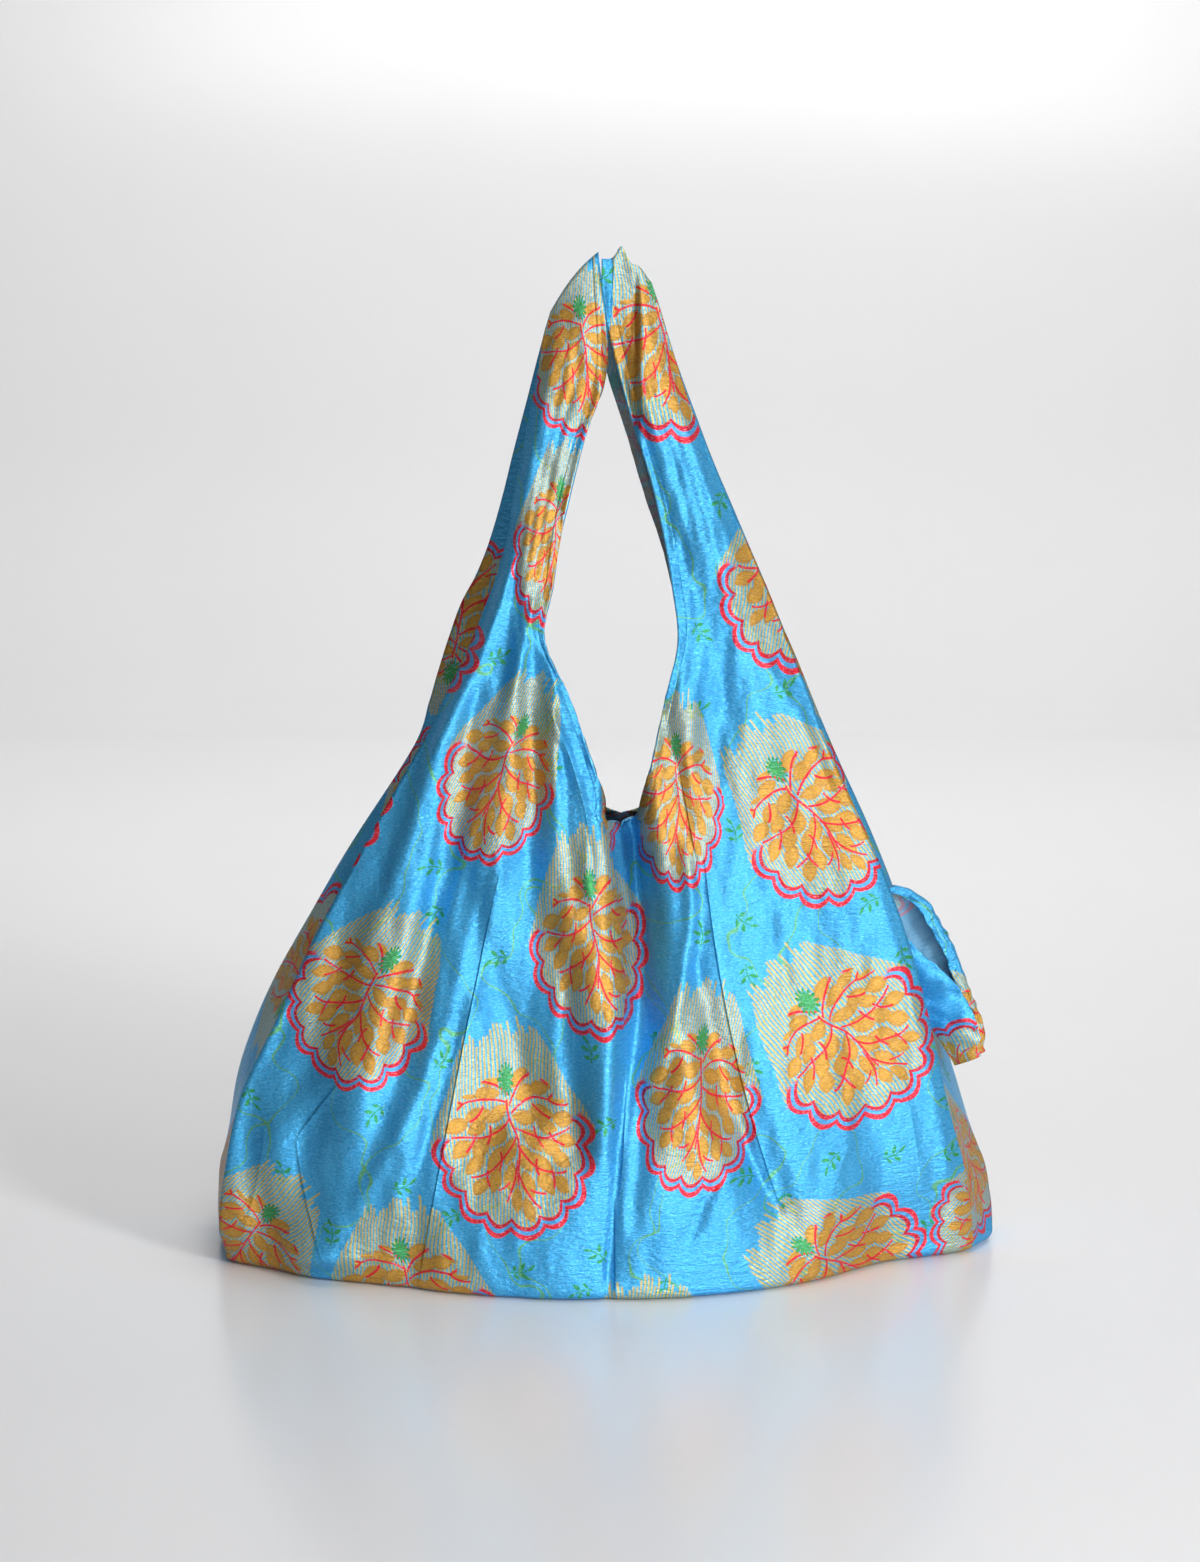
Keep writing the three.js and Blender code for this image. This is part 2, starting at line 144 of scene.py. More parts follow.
FOLD = ("x", "y", "z")
FOLD_FRONT_LEFT = rows_of(FOLD, [
    [-222, -50, 7], [-225, -58, 28], [-221, -62, 58], [-211, -62, 104],
    [-189, -60, 151], [-166, -56, 200], [-137, -48, 253], [-112, -42, 297],
    [-101, -39, 316], [-92, -37, 335], [-79, -33, 361], [-69, -29, 385], [-61, -27, 406],
    [-54, -24, 430], [-50, -21, 456], [-43, -16, 492], [-37, -12, 521], [-33, -9, 546], [-29, -6, 560],
])
FOLD_FRONT_RIGHT = rows_of(FOLD, [
    [224, -26, 8], [221, -34, 30], [216, -42, 58], [205, -50, 98],
    [194, -54, 146], [181, -53, 194], [164, -49, 240], [141, -43, 291],
    [130, -40, 317], [121, -36, 342], [113, -33, 361], [104, -29, 384], [96, -26, 403],
    [86, -23, 426], [75, -19, 450], [65, -17, 475], [52, -13, 508], [42, -10, 539], [35, -8, 562],
    [30, -6, 577],
])
FOLD_REAR_LEFT = rows_of(FOLD, [
    [-230, 40, 7], [-231, 48, 28], [-229, 54, 58], [-222, 57, 98],
    [-203, 57, 146], [-177, 53, 193], [-152, 47, 236], [-113, 40, 297],
    [-103, 37, 325], [-98, 35, 342], [-91, 32, 364], [-83, 29, 386], [-74, 27, 403],
    [-66, 25, 423], [-58, 22, 450], [-51, 18, 478], [-43, 13, 508], [-36, 9, 535], [-29, 6, 560],
])
FOLD_REAR_RIGHT = rows_of(FOLD, [
    [238, 30, 8], [236, 36, 30], [229, 42, 56], [216, 48, 100],
    [199, 52, 148], [184, 52, 196], [166, 48, 242], [145, 44, 288],
    [132, 40, 318], [119, 34, 350], [109, 31, 373], [100, 28, 395], [90, 25, 418],
    [78, 21, 446], [66, 18, 474], [55, 14, 503], [45, 11, 530], [36, 8, 558], [30, 6, 577],
])
BOW_FRONT = rows_of(FOLD, [
    [3, -131, 7], [4, -131, 24], [8, -129, 50], [14, -122, 88],
    [20, -112, 126], [20, -100, 166], [16, -88, 210], [12, -74, 262],
    [10, -66, 300], [8, -57, 340], [5, -48, 385], [3, -39, 430], [1, -29, 480], [0, -19, 530],
    [0, -12, 565], [0, -7, 596],
])
BOW_REAR = rows_of(FOLD, [
    [4, 110, 7], [4, 112, 24], [5, 112, 50], [6, 108, 88],
    [8, 102, 126], [11, 92, 166], [13, 80, 210], [13, 66, 254],
    [12, 58, 300], [9, 51, 340], [6, 43, 385], [3, 35, 430], [1, 26, 480], [0, 17, 530],
    [0, 11, 565], [0, 7, 596],
])
EDGE = ("x", "z")
HEM_FRONT_LEFT = rows_of(EDGE, [
    [12, 265], [3, 270], [2, 284], [-8, 314], [-19, 344], [-32, 373],
    [-27, 404], [-21, 440], [-9, 487], [2, 519], [4, 548], [-1, 595],
])
HEM_FRONT_RIGHT = rows_of(EDGE, [
    [12, 265], [21, 269], [25, 285], [32, 314], [39, 346], [45, 373], [42, 402], [37, 432],
    [29, 466], [18, 500], [8, 536], [2, 566], [1, 591],
])
HEM_REAR_LEFT = rows_of(EDGE, [
    [13, 254], [3, 254], [-4, 272], [-13, 299], [-23, 328], [-33, 352], [-36, 385], [-28, 428],
    [-17, 470], [-8, 510], [-4, 550], [-3, 592],
])
HEM_REAR_RIGHT = rows_of(EDGE, [
    [13, 254], [23, 254], [30, 266], [38, 294], [44, 323], [48, 356], [47, 378], [39, 413],
    [27, 450], [15, 490], [4, 525], [1, 556], [1, 590],
])
SEAM_LEFT = rows_of(("z", "x"), [
    [7, -231], [30, -231], [58, -227], [100, -207], [150, -176], [200, -139], [250, -101], [300, -64],
    [335, -45], [361, -39], [385, -38], [405, -36], [430, -32], [456, -27], [492, -19], [521, -12],
    [546, -11], [575, -13], [592, -12],
])
SEAM_RIGHT = rows_of(("z", "x"), [
    [7, 238], [30, 236], [58, 229], [100, 207], [150, 181], [200, 152], [250, 122], [300, 95],
    [335, 82], [361, 77], [384, 72], [403, 68], [426, 62], [450, 52], [475, 43], [508, 32],
    [539, 22], [562, 16], [592, 12],
])
CREASE = ("xTop", "zTop", "xMiddle", "zMiddle", "xFoot", "zFoot",
          "widthTop", "widthFoot", "heightTop", "heightFoot", "fadeTop", "fadeFoot")
CREASES_FRONT = each(CREASE, [
    [12, 300, 22, 165, 8, 30, 12, 16, -21, -5, 1, 40],
    [2, 300, 9, 190, 9, 60, 8, 16, 5, 3, 30, 50],
    [27, 300, 31, 200, 26, 80, 9, 16, 5, 3, 30, 50],
    [-32, 521, -100, 262, -138, 110, 9, 20, 4, 8, 40, 60],
    [-46, 400, -55, 293, -104, 90, 8, 20, 4, 9, 60, 70],
    [-76, 330, -84, 262, -112, 150, 8, 14, -5, -6, 60, 60],
    [-26, 345, -23, 288, 4, 120, 8, 14, 5, 6, 50, 60],
    [-39, 320, -38, 262, -40, 130, 9, 18, -6, -6, 60, 60],
    [44, 360, 58, 255, 52, 120, 9, 18, 6, 7, 60, 60],
    [74, 339, 56, 226, 104, 50, 12, 13, -4, -9, 60, 40],
    [58, 492, 84, 349, 128, 200, 12, 34, 4, 8, 60, 90],
    [140, 290, 150, 230, 160, 110, 14, 24, -4, -5, 60, 50],
    [164, 230, 172, 163, 178, 60, 14, 22, 3, 6, 50, 40],
    [-150, 190, -166, 120, -178, 40, 12, 22, -4, -8, 60, 30],
    [-120, 165, -146, 90, -158, 20, 12, 22, 2, 7, 60, 20],
    [-96, 100, -103, 60, -106, 20, 8, 10, -3, -5, 50, 20],
    [150, 120, 140, 70, 132, 20, 12, 22, 3, 5, 60, 20],
    [160, 110, 166, 60, 168, 10, 24, 34, -3, -19, 40, 12],
])
CREASES_REAR = each(CREASE, [
    [13, 290, 10, 170, 4, 40, 14, 22, -8, -4, 1, 60],
    [-24, 340, -34, 230, -40, 70, 10, 26, 6, 8, 60, 60],
    [-70, 340, -96, 220, -120, 60, 12, 28, -6, -9, 60, 50],
    [40, 370, 58, 240, 66, 80, 12, 28, 6, 9, 60, 60],
    [88, 340, 104, 230, 128, 60, 12, 26, -5, -8, 60, 50],
    [130, 260, 150, 160, 168, 50, 14, 26, 4, 6, 60, 40],
    [-140, 240, -160, 150, -172, 50, 14, 24, 4, 6, 60, 40],
])

# Finer folds that only the looks have: first the left strap and what fans out below it, then the
# lower left, the middle, the lower right and the right strap
FINE_FRONT = each(CREASE, [
    [-38, 520, -60, 405, -86, 330, 8, 12, 3.5, 4, 30, 40],
    [13, 515, 30, 458, 50, 400, 5, 7, 2.4, 2.8, 20, 30],
    [-50, 440, -59, 381, -80, 325, 4, 6, 2.6, 2.8, 60, 40],
    [-39, 384, -43, 362, -51, 339, 3.5, 4, 1.6, 1.6, 20, 30],
    [-46, 420, -49, 373, -56, 335, 4, 5, -2.4, -2.2, 40, 30],
    [-25, 331, -25, 291, -28, 240, 3.5, 5, 2.4, 2.4, 20, 40],
    [-25, 327, -14, 302, -5, 240, 2.6, 3.5, 2.4, 2.6, 14, 30],
    [-19, 306, -17, 283, -13, 240, 4, 5, -3.0, -3.0, 16, 40],
    [-93, 310, -108, 259, -130, 200, 4.5, 6, 3.0, 3.2, 40, 40],
    [-84, 290, -90, 249, -106, 165, 5, 7, -3.0, -3.0, 40, 40],
    [-70, 270, -78, 241, -93, 160, 3.5, 5, 2.4, 2.6, 30, 40],
    [-151, 121, -177, 84, -161, 18, 10, 17, 3.0, 6.5, 40, 20],
    [-180, 150, -196, 100, -188, 40, 12, 14, -3.0, -3.6, 40, 20],
    [-64, 235, -80, 150, -104, 70, 4, 5, -1.8, -3.0, 30, 40],
    [-93, 142, -111, 97, -131, 60, 5, 6, 2.4, 2.6, 20, 30],
    [-22, 167, -23, 139, -19, 110, 4, 5, 2.0, 2.0, 16, 20],
    [-64, 226, -52, 180, -28, 108, 14, 18, -7, -8, 30, 20],
    [-78, 152, -67, 120, -60, 88, 18, 20, -6, -5, 24, 20],
    [-128, 195, -138, 140, -158, 84, 20, 22, 4, 4, 40, 40],
    [-10, 185, -9, 125, -4, 90, 11, 13, -6.5, -8.5, 30, 16],
    [14, 165, 9, 120, 4, 88, 6, 7, 3.4, 4.4, 20, 16],
    [31, 250, 33, 203, 24, 120, 10, 11, -9, -6, 16, 40],
    [54, 250, 52, 187, 32, 125, 4.5, 5, 4.5, 3.5, 20, 20],
    [60, 185, 67, 147, 72, 112, 6, 6, -3, -2.5, 20, 20],
    [84, 95, 91, 73, 104, 48, 3, 3.5, -2.4, -2.4, 12, 10],
    [70, 70, 63, 58, 57, 42, 3, 3.5, -2.4, -2.0, 10, 10],
    [23, 125, 19, 87, 16, 50, 3, 4, 2.0, 1.6, 20, 20],
    [13, 110, 11, 70, 7, 15, 2.6, 3, -2.4, -2.6, 30, 14],
    [189, 150, 202, 100, 211, 55, 5, 6, 2.2, 2.2, 30, 20],
    [30, 480, 37, 444, 42, 425, 5, 5, -3.2, -2.6, 30, 20],
    [50, 430, 71, 384, 82, 342, 9, 11, -2.6, -2.4, 30, 40],
    [103, 352, 117, 329, 133, 295, 4, 5, 1.8, 1.8, 20, 30],
    [36, 318, 35, 282, 37, 245, 4.5, 5, 2.2, 2.4, 16, 14],
    [48, 300, 53, 265, 60, 232, 3.5, 4, -2.4, -2.4, 14, 10],
])


def push_of(creases, x, z, lean=0.0):
    push = np.zeros_like(x)
    for c in creases:
        upper = smooth((c["zTop"] + c["fadeTop"] - z) / c["fadeTop"])
        lower = smooth((z - c["zFoot"] + c["fadeFoot"]) / c["fadeFoot"])
        run = c["zTop"] - c["zFoot"]
        k = (c["zTop"] - z) / run
        bend = (c["zTop"] - c["zMiddle"]) / run
        sway = (c["xMiddle"] - mix(c["xTop"], c["xFoot"], bend)) / (bend * (1 - bend))
        inside = clamp01(k)
        centre = mix(c["xTop"], c["xFoot"], k) + sway * inside * (1 - inside)
        width = mix(c["widthTop"], c["widthFoot"], inside)
        u = (x - centre) / width + lean
        push = push + mix(c["heightTop"], c["heightFoot"], inside) * upper * lower * np.exp(-u * u)
    return push


WALL_WAVES = Waves(11, 7, 40, 150)
WALL_RIPPLE = Waves(12, 7, 15, 60)
STRAP_FOLDS = Waves(13, 5, 15, 210)
CRINKLE = Waves(14, 6, 60, 6.5, 0.35)
HEM_PUCKER = Waves(15, 4, 4000, 8.5, 0.4)
HEM_SWAY = Waves(17, 4, 4000, 60)
GUSSET_WAVES = Waves(16, 6, 40, 52)

# The recess under the front neck, steep on its right side
RECESS = rows_of(("z", "x", "halfWide", "depth"), [
    [150, 22, 8, 0], [178, 22, 8, 4], [204, 21, 8, 8], [237, 16, 8, 12], [251, 15, 9, 12],
    [275, 12.5, 10.5, 12],
])
RECESS_FOOT = 204


def across_recess(x, z):
    """-1 at the recess's left edge, 1 at its right edge."""
    return (x - at_height(RECESS, "x", z)) / at_height(RECESS, "halfWide", z)


def recess(x, z):
    across = across_recess(x, z)
    return -at_height(RECESS, "depth", z) * smooth((across + 1.3) / 0.7) * smooth((1.1 - across) / 0.35)


def fine_lift(x, z, s, t, span, crinkled):
    """What the looks add to the wall: low waves, folds along the straps and puckers at the hem."""
    strap = smooth((t - BODY_ROWS) / 3)
    edge = (1 - s) * span
    lift = WALL_WAVES(x, z) * WAVE_HIGH * (1 - strap) + WALL_RIPPLE(x, z) * RIPPLE_HIGH
    lift = lift + strap * STRAP_FOLDS(s * STRAP_WIDE, z) * STRAP_FOLD_HIGH
    lift = lift + crinkled(x, z) * CRINKLE(x, z) * CRINKLE_HIGH
    above = smooth((t - BODY_ROWS) / 0.4)
    roll = np.cos(edge * math.pi / ROLL_PITCH) * (ROLL_HIGH + ROLL_SWAY * HEM_SWAY(x * 0, z))
    lift = lift + above * np.exp(-edge / ROLL_REACH) * roll
    return lift + above * np.exp(-edge / PUCKER_REACH) * HEM_PUCKER(x * 0, z + 0.4 * x) * PUCKER_HIGH


def crinkled_front(x, z):
    return 0.35 + np.exp(-((x - 72) / 42) ** 2 - ((z - 370) / 70) ** 2) + 0.6 * np.exp(
        -((x + 110) / 60) ** 2 - ((z - 250) / 90) ** 2)


def crinkled_rear(x, z):
    return 0.5


class Quarter:
    """Half a panel, from the side seam around the pressed fold to the middle line or the hem."""

    def __init__(self, fold, bow, hem, seam, creases, fine, crinkled, face, raised):
        self.fold, self.bow, self.hem, self.seam = fold, bow, hem, seam
        self.creases, self.fine, self.crinkled, self.face = creases, fine, crinkled, face
        self.raised = raised
        self.rows = len(fold["x"]) - 1
        corner = self.place(0, np.array([-1.0]))
        self.corner = abs(corner[0, 0]) - BASE_SEAM_SHORT
        self.seam_at_fold = self.corner * BASE_SEAM_SPREAD
        self.first = self.place(0, np.array([0.0]))[0]

    def ends(self, t):
        a = np.stack([along(self.fold[name], t) for name in FOLD], -1)
        up = (t - BODY_ROWS) / (self.rows - BODY_ROWS) * (len(self.hem["x"]) - 1)
        inner = [np.where(up > 0, along(self.hem[name], np.maximum(up, 0)),
                          along(self.bow[name], np.minimum(t, BODY_ROWS))) for name in EDGE]
        return a, inner[0], inner[1]

    def span(self, t):
        a, bx, bz = self.ends(t)
        return np.hypot(bx - a[..., 0], bz - a[..., 2])

    def wall(self, t, s):
        a, bx, bz = self.ends(t)
        tip = smooth((t - self.rows + 2) / 2)
        x = mix(a[..., 0], bx, s)
        z = mix(a[..., 2], bz, s) + TIP_BOW * tip * np.sin(math.pi * s)
        peaks = sum(high * np.exp(-((s - at) / wide) ** 2) for at, wide, high in self.raised)
        z = z + TIP_RAISE * tip ** 2 * peaks
        fold_x = at_height(self.fold, "x", z)
        inward = clamp01((x - fold_x) / (at_height(self.bow, "x", z) - fold_x))
        depth = mix(at_height(self.fold, "y", z), at_height(self.bow, "y", z), np.sin(inward * math.pi / 2))
        strap = smooth((z - STRAP_FOOT) / STRAP_EASE) * (1 - 0.7 * tip)
        span = np.hypot(bx - a[..., 0], bz - a[..., 2])
        off = smooth(s * span / FOLD_RUN)
        crown = STRAP_CROWN * strap * np.sin(math.pi * s)
        share = smooth((x - RIGHT_FROM) / RIGHT_RUN) if self.face < 0 else 0
        push = push_of(self.creases, x, z) * mix(FOLD_DEPTH, FOLD_DEPTH_RIGHT, share)
        push = push + push_of(self.fine, x, z, FINE_LEAN) * FINE_DEPTH
        push = push + fine_lift(x, z, s, t, span, self.crinkled) * smooth(z / FOOT_EASE)
        if self.face < 0:
            push = push + recess(x, z)
        lift = crown + off * (FOLD_ROUND + push * (1 - tip))
        return np.stack([x, depth + self.face * lift, z], -1)

    def gusset(self, t, u):
        a, bx, bz = self.ends(t)
        ax, ay, az = a[..., 0], a[..., 1], a[..., 2]
        share = (at_height(self.seam, "x", az) - ax) / (bx - ax)
        z = mix(az, mix(az, bz, share), smooth(az / GUSSET_FOOT))
        x = at_height(self.seam, "x", z)
        tucked = smooth((z - TUCK_FROM) / TUCK_RUN)
        y = self.face * (SEAM_GAP + HALF_SHEET * tucked)
        depth = np.hypot(x - ax, y - ay)
        off = smooth(u * depth / FOLD_RUN) * (1 - u)
        wave = GUSSET_WAVES(depth * u, z) * GUSSET_WAVE * np.sin(math.pi * u) ** 2
        wave = wave * smooth(depth / GUSSET_EASE)
        return np.stack([mix(ax, x, u), mix(ay, y, u) - self.face * (FOLD_ROUND * off + wave),
                         mix(az, z, u)], -1)

    def place(self, t, c):
        t = np.full_like(c, t)
        gusset, wall = self.gusset(t, np.maximum(-c, 0)), self.wall(t, np.maximum(c, 0))
        return np.where((c < 0)[..., None], gusset, wall)

    def base(self, k, c):
        rim = self.place(0, c)
        reach = np.where(c < 0, mix(self.seam_at_fold, self.corner, np.maximum(-c, 0)),
                         self.seam_at_fold * (rim[..., 0] / self.first[0]))
        side = np.where(c < 0, np.sign(rim[..., 0]), np.sign(self.first[0]))
        end = np.stack([side * reach, np.full_like(c, self.face * SEAM_GAP),
                        np.full_like(c, HALF_SHEET)], -1)
        edge = rim - end
        length = np.linalg.norm(edge, axis=-1, keepdims=True)
        edge = end + edge / length * (length - np.minimum(BASE_ROUND, length / 2))
        out = mix(end, edge, k)
        out[..., 2] = HALF_SHEET
        return out

    def round(self, k, c):
        start, rim = self.base(1.0, c), self.place(0, c)
        turn = k * math.pi / 2
        return np.stack([mix(start[..., 0], rim[..., 0], math.sin(turn)),
                         mix(start[..., 1], rim[..., 1], math.sin(turn)),
                         mix(start[..., 2], rim[..., 2], 1 - math.cos(turn))], -1)


# The woven figures: where each fan and each sprig lies on its part of the cloth. A fan's crown
# is at (crownX, crownZ), its outer tip at (tipX, tipZ), and it is wide from end to end.

FAN = ("crownX", "crownZ", "tipX", "tipZ", "wide")
FAN_LONG = 87.0
FAN_WIDE = 98.0
FAN_HEART = 36
FAN_RADIUS = 53
COMB_WIDE, COMB_HIGH = 41, 43
FAN_REACH, SPRIG_REACH = 1.16, 16.0
FANS_FRONT = each(FAN, [
    [-46, 323, -78, 246, 66], [-122, 190, -165, 122, 86], [-194, 36, -240, -26, 92],
    [-6, 234, 3, 148, 76], [-55, 121, -40, 37, 93], [-114, 23, -105, -60, 98],
    [44, 312, 44, 229, 54], [104, 296, 160, 228, 90], [122, 166, 184, 105, 100],
    [59, 147, 52, 59, 72], [118, 23, 188, -24, 94], [32, 572, 50, 485, 86],
    [-11, 561, -4, 484, 68], [-23, 457, -32, 378, 48], [117, 438, 111, 351, 90],
    [254, 44, 213, -14, 84], [28, -18, 32, -100, 98], [-123, 402, -97, 332, 88],
    [-188, 311, -142, 241, 90], [-12, 300, -7, 240, 42], [-18, 234, 1, 148, 76],
])
# The folds at the recess and at the strap top hide part of the cloth, so these fans end there. Beyond
# the recess the last fan is the fourth one again, drawn in by the hidden width.
CUT_FRONT = {
    3: lambda x, z: across_recess(x, z) < -1,
    20: lambda x, z: across_recess(x, z) > -1,
    11: lambda x, z: x > 3 + clamp01((z - 541) / 20) * 4.5,
    12: lambda x, z: x < 3.5 - clamp01((z - 541) / 55) * 4.7,
    6: lambda x, z: (across_recess(x, z) > 0.95) | (z < RECESS_FOOT),
    19: lambda x, z: abs(across_recess(x, z) + 0.4) < 0.75,
}


def nearest(distances, reach):
    """For each face the index of the nearest figure, -1 where none is within reach."""
    best, found = reach, -1
    for i, far in enumerate(distances):
        closer = far < best
        best, found = np.where(closer, far, best), np.where(closer, i, found)
    return found


def fan_place(fan, a, b):
    """Where (a, b) lies on a fan's drawing: across, and from the crown towards the tip."""
    ax, az = fan["tipX"] - fan["crownX"], fan["tipZ"] - fan["crownZ"]
    long = math.hypot(ax, az)
    ax, az = ax / long, az / long
    da, db = a - fan["crownX"], b - fan["crownZ"]
    return (da * -az + db * ax) * FAN_WIDE / fan["wide"], (da * ax + db * az) * FAN_LONG / long


def sprig_place(sprig, a, b):
    da, db = a - sprig["x"], b - sprig["z"]
    cos, sin = math.cos(sprig["turn"]), math.sin(sprig["turn"])
    return da * cos - db * sin, da * sin + db * cos


class Figures:
    """The fans and sprigs of a part of the cloth, and how far each of them is."""

    def __init__(self, fans, sprigs, cut=None):
        self.fans, self.sprigs, self.cut = fans, sprigs, cut or {}

    def fan_distances(self, a, b):
        for i, fan in enumerate(self.fans):
            u, v = fan_place(fan, a, b)
            leaf = np.hypot(u / FAN_RADIUS, (v - FAN_HEART) / FAN_RADIUS)
            far = np.minimum(leaf, np.hypot(u / COMB_WIDE, (v - 2) / COMB_HIGH))
            yield np.where(self.cut[i](a, b), far, np.inf) if i in self.cut else far

    def sprig_distances(self, a, b):
        return [np.hypot(a - sprig["x"], b - sprig["z"]) for sprig in self.sprigs]


def lattice(seed, low, high, step=(118, 104), jitter=12):
    """Fans in a half-drop repeat, each turned a little differently, and sprigs between them."""
    rng = np.random.default_rng(seed)
    fans, sprigs = [], []
    for i, a in enumerate(np.arange(low[0] - step[0], high[0] + step[0], step[0] / 2)):
        for b in np.arange(low[1] - step[1], high[1] + step[1] * 1.5, step[1]):
            x = a + rng.uniform(-jitter, jitter)
            z = b + (i % 2) * step[1] / 2 + rng.uniform(-jitter, jitter)
            turn = rng.choice([-0.35, 0.1, 0.45]) + rng.uniform(-0.2, 0.2)
            long = rng.uniform(76, 88)
            fans.append(dict(crownX=x, crownZ=z, tipX=x + long * math.sin(turn),
                             tipZ=z - long * math.cos(turn), wide=rng.uniform(82, 96)))
            for side in (-1, 1):
                sprigs.append(dict(x=x + side * step[0] / 4 + rng.uniform(-8, 8),
                                   z=z + step[1] * 0.46 + rng.uniform(-8, 8), turn=rng.uniform(0, 6.28)))
    return Figures(fans, sprigs)


def scatter_sprigs(rows, seed):
    rng = np.random.default_rng(seed)
    return [dict(x=x, z=z, turn=rng.uniform(0, 2 * math.pi)) for x, z in rows]


SPRIGS_FRONT = scatter_sprigs([
    (-97, 242), (-96, 214), (-59, 192), (-27, 301), (-130, 105), (-185, 63), (-205, 104), (-90, 135),
    (-5, 143), (3, 103), (-113, 63), (-86, 47), (-155, 32), (-45, 17), (-1, 28), (-11, 7), (56, 333),
    (107, 343), (78, 264), (83, 213), (85, 183), (157, 220), (177, 187), (59, 206), (35, 147), (88, 130),
    (83, 69), (134, 74), (108, 51), (172, 71), (208, 101), (208, 68), (194, 22), (37, 8), (70, 451),
    (58, 377), (-59, 362), (2, 580),
], 21)


# Meshes

GUSSET, WALL = 1, 2
NARROWEST = 12


def quads_of(index):
    return np.stack([index[:-1, :-1], index[:-1, 1:], index[1:, 1:], index[1:, :-1]], -1).reshape(-1, 4)


def net_of(left, right, columns, body_steps, strap_steps, base_steps, round_steps, hem_share):
    """Both quarters of a panel, sharing the middle line: places, the cloth laid flat, hem, quads, parts.
    The flat cloth has the wall's x, the gusset's y, the height and the distance from the hem."""
    points, flat, hem, faces, shared = [], [], [], [], {}
    inner = 1 - HEM_COLUMNS / (len(columns) - 1)
    for side, q in enumerate((left, right)):
        rows = [(q.base, k, 0.0) for k in base_steps] + [(q.round, k, 0.0) for k in round_steps]
        neck = len(rows) + body_steps
        heights = [BODY_ROWS * i / body_steps for i in range(body_steps + 1)]
        heights += [mix(BODY_ROWS, q.rows, i / strap_steps) for i in range(1, strap_steps + 1)]
        rows += [(q.place, t, t) for t in heights]
        index = np.zeros((len(rows), len(columns)), int)
        for j, (make, k, t) in enumerate(rows):
            span = float(q.span(np.array([t]))[0])
            share = HEM / max(span, NARROWEST) if t > BODY_ROWS else hem_share
            share = mix(hem_share, share, float(smooth((t - BODY_ROWS) * 2)))
            wall = np.where(columns < inner, columns / inner * (1 - share),
                            1 - share + (columns - inner) / (1 - inner) * share)
            c = np.where(columns < 0, columns, wall)
            c[-1] = 1.0
            place, above = make(k, c), q.place(t, c)
            hemmed = smooth(((c - 1) * span + HEM) / 1.6) * float(smooth((t - BODY_ROWS) * 5))
            drop = np.linalg.norm(above - place, axis=-1)
            edge = (1 - c) * span if t >= BODY_ROWS else np.full_like(c, FAR_FROM_HEM)
            laid = np.stack([above[:, 0], above[:, 1], above[:, 2] - drop, edge], -1)
            for i, p in enumerate(place):
                middle = i == len(columns) - 1 and j <= neck
                if middle and side == 1:
                    index[j, i] = shared[j]
                    continue
                index[j, i] = len(points)
                if middle:
                    shared[j] = len(points)
                points.append(p)
                flat.append(laid[i])
                hem.append(hemmed[i])
        quads = quads_of(index)
        parts = np.tile(np.where(columns[:-1] < 0, GUSSET, WALL), len(rows) - 1)
        faces.append((quads if side == 0 else quads[:, ::-1], parts))
    return (np.array(points), np.array(flat), np.array(hem), np.concatenate([f[0] for f in faces]),
            np.concatenate([f[1] for f in faces]))


def vertex_normals(points, quads):
    a, b, c, d = (points[quads[:, k]] for k in range(4))
    diagonals = np.cross(c - a, d - b)
    normals = np.zeros_like(points)
    for corner in range(4):
        np.add.at(normals, quads[:, corner], diagonals)
    return normals / np.maximum(np.linalg.norm(normals, axis=1, keepdims=True), 1e-9)


def open_edges(quads):
    """Edges that only one quad has, each in that quad's own direction."""
    pairs = np.concatenate([np.stack([quads[:, i], quads[:, (i + 1) % 4]], 1) for i in range(4)])
    size = pairs.max() + 1
    keys = pairs[:, 0] * size + pairs[:, 1]
    back = pairs[:, 1] * size + pairs[:, 0]
    return pairs[~np.isin(keys, back)]


def smooth_mesh(name, points, faces, materials):
    mesh = bpy.data.meshes.new(name)
    mesh.from_pydata(points, [], faces)
    for material in materials:
        mesh.materials.append(material)
    mesh.polygons.foreach_set("use_smooth", np.ones(len(faces), bool))
    return mesh


def placed(name, data):
    """A new object of the scene, with this mesh, light or camera."""
    obj = bpy.data.objects.new(name, data)
    bpy.context.scene.collection.objects.link(obj)
    return obj


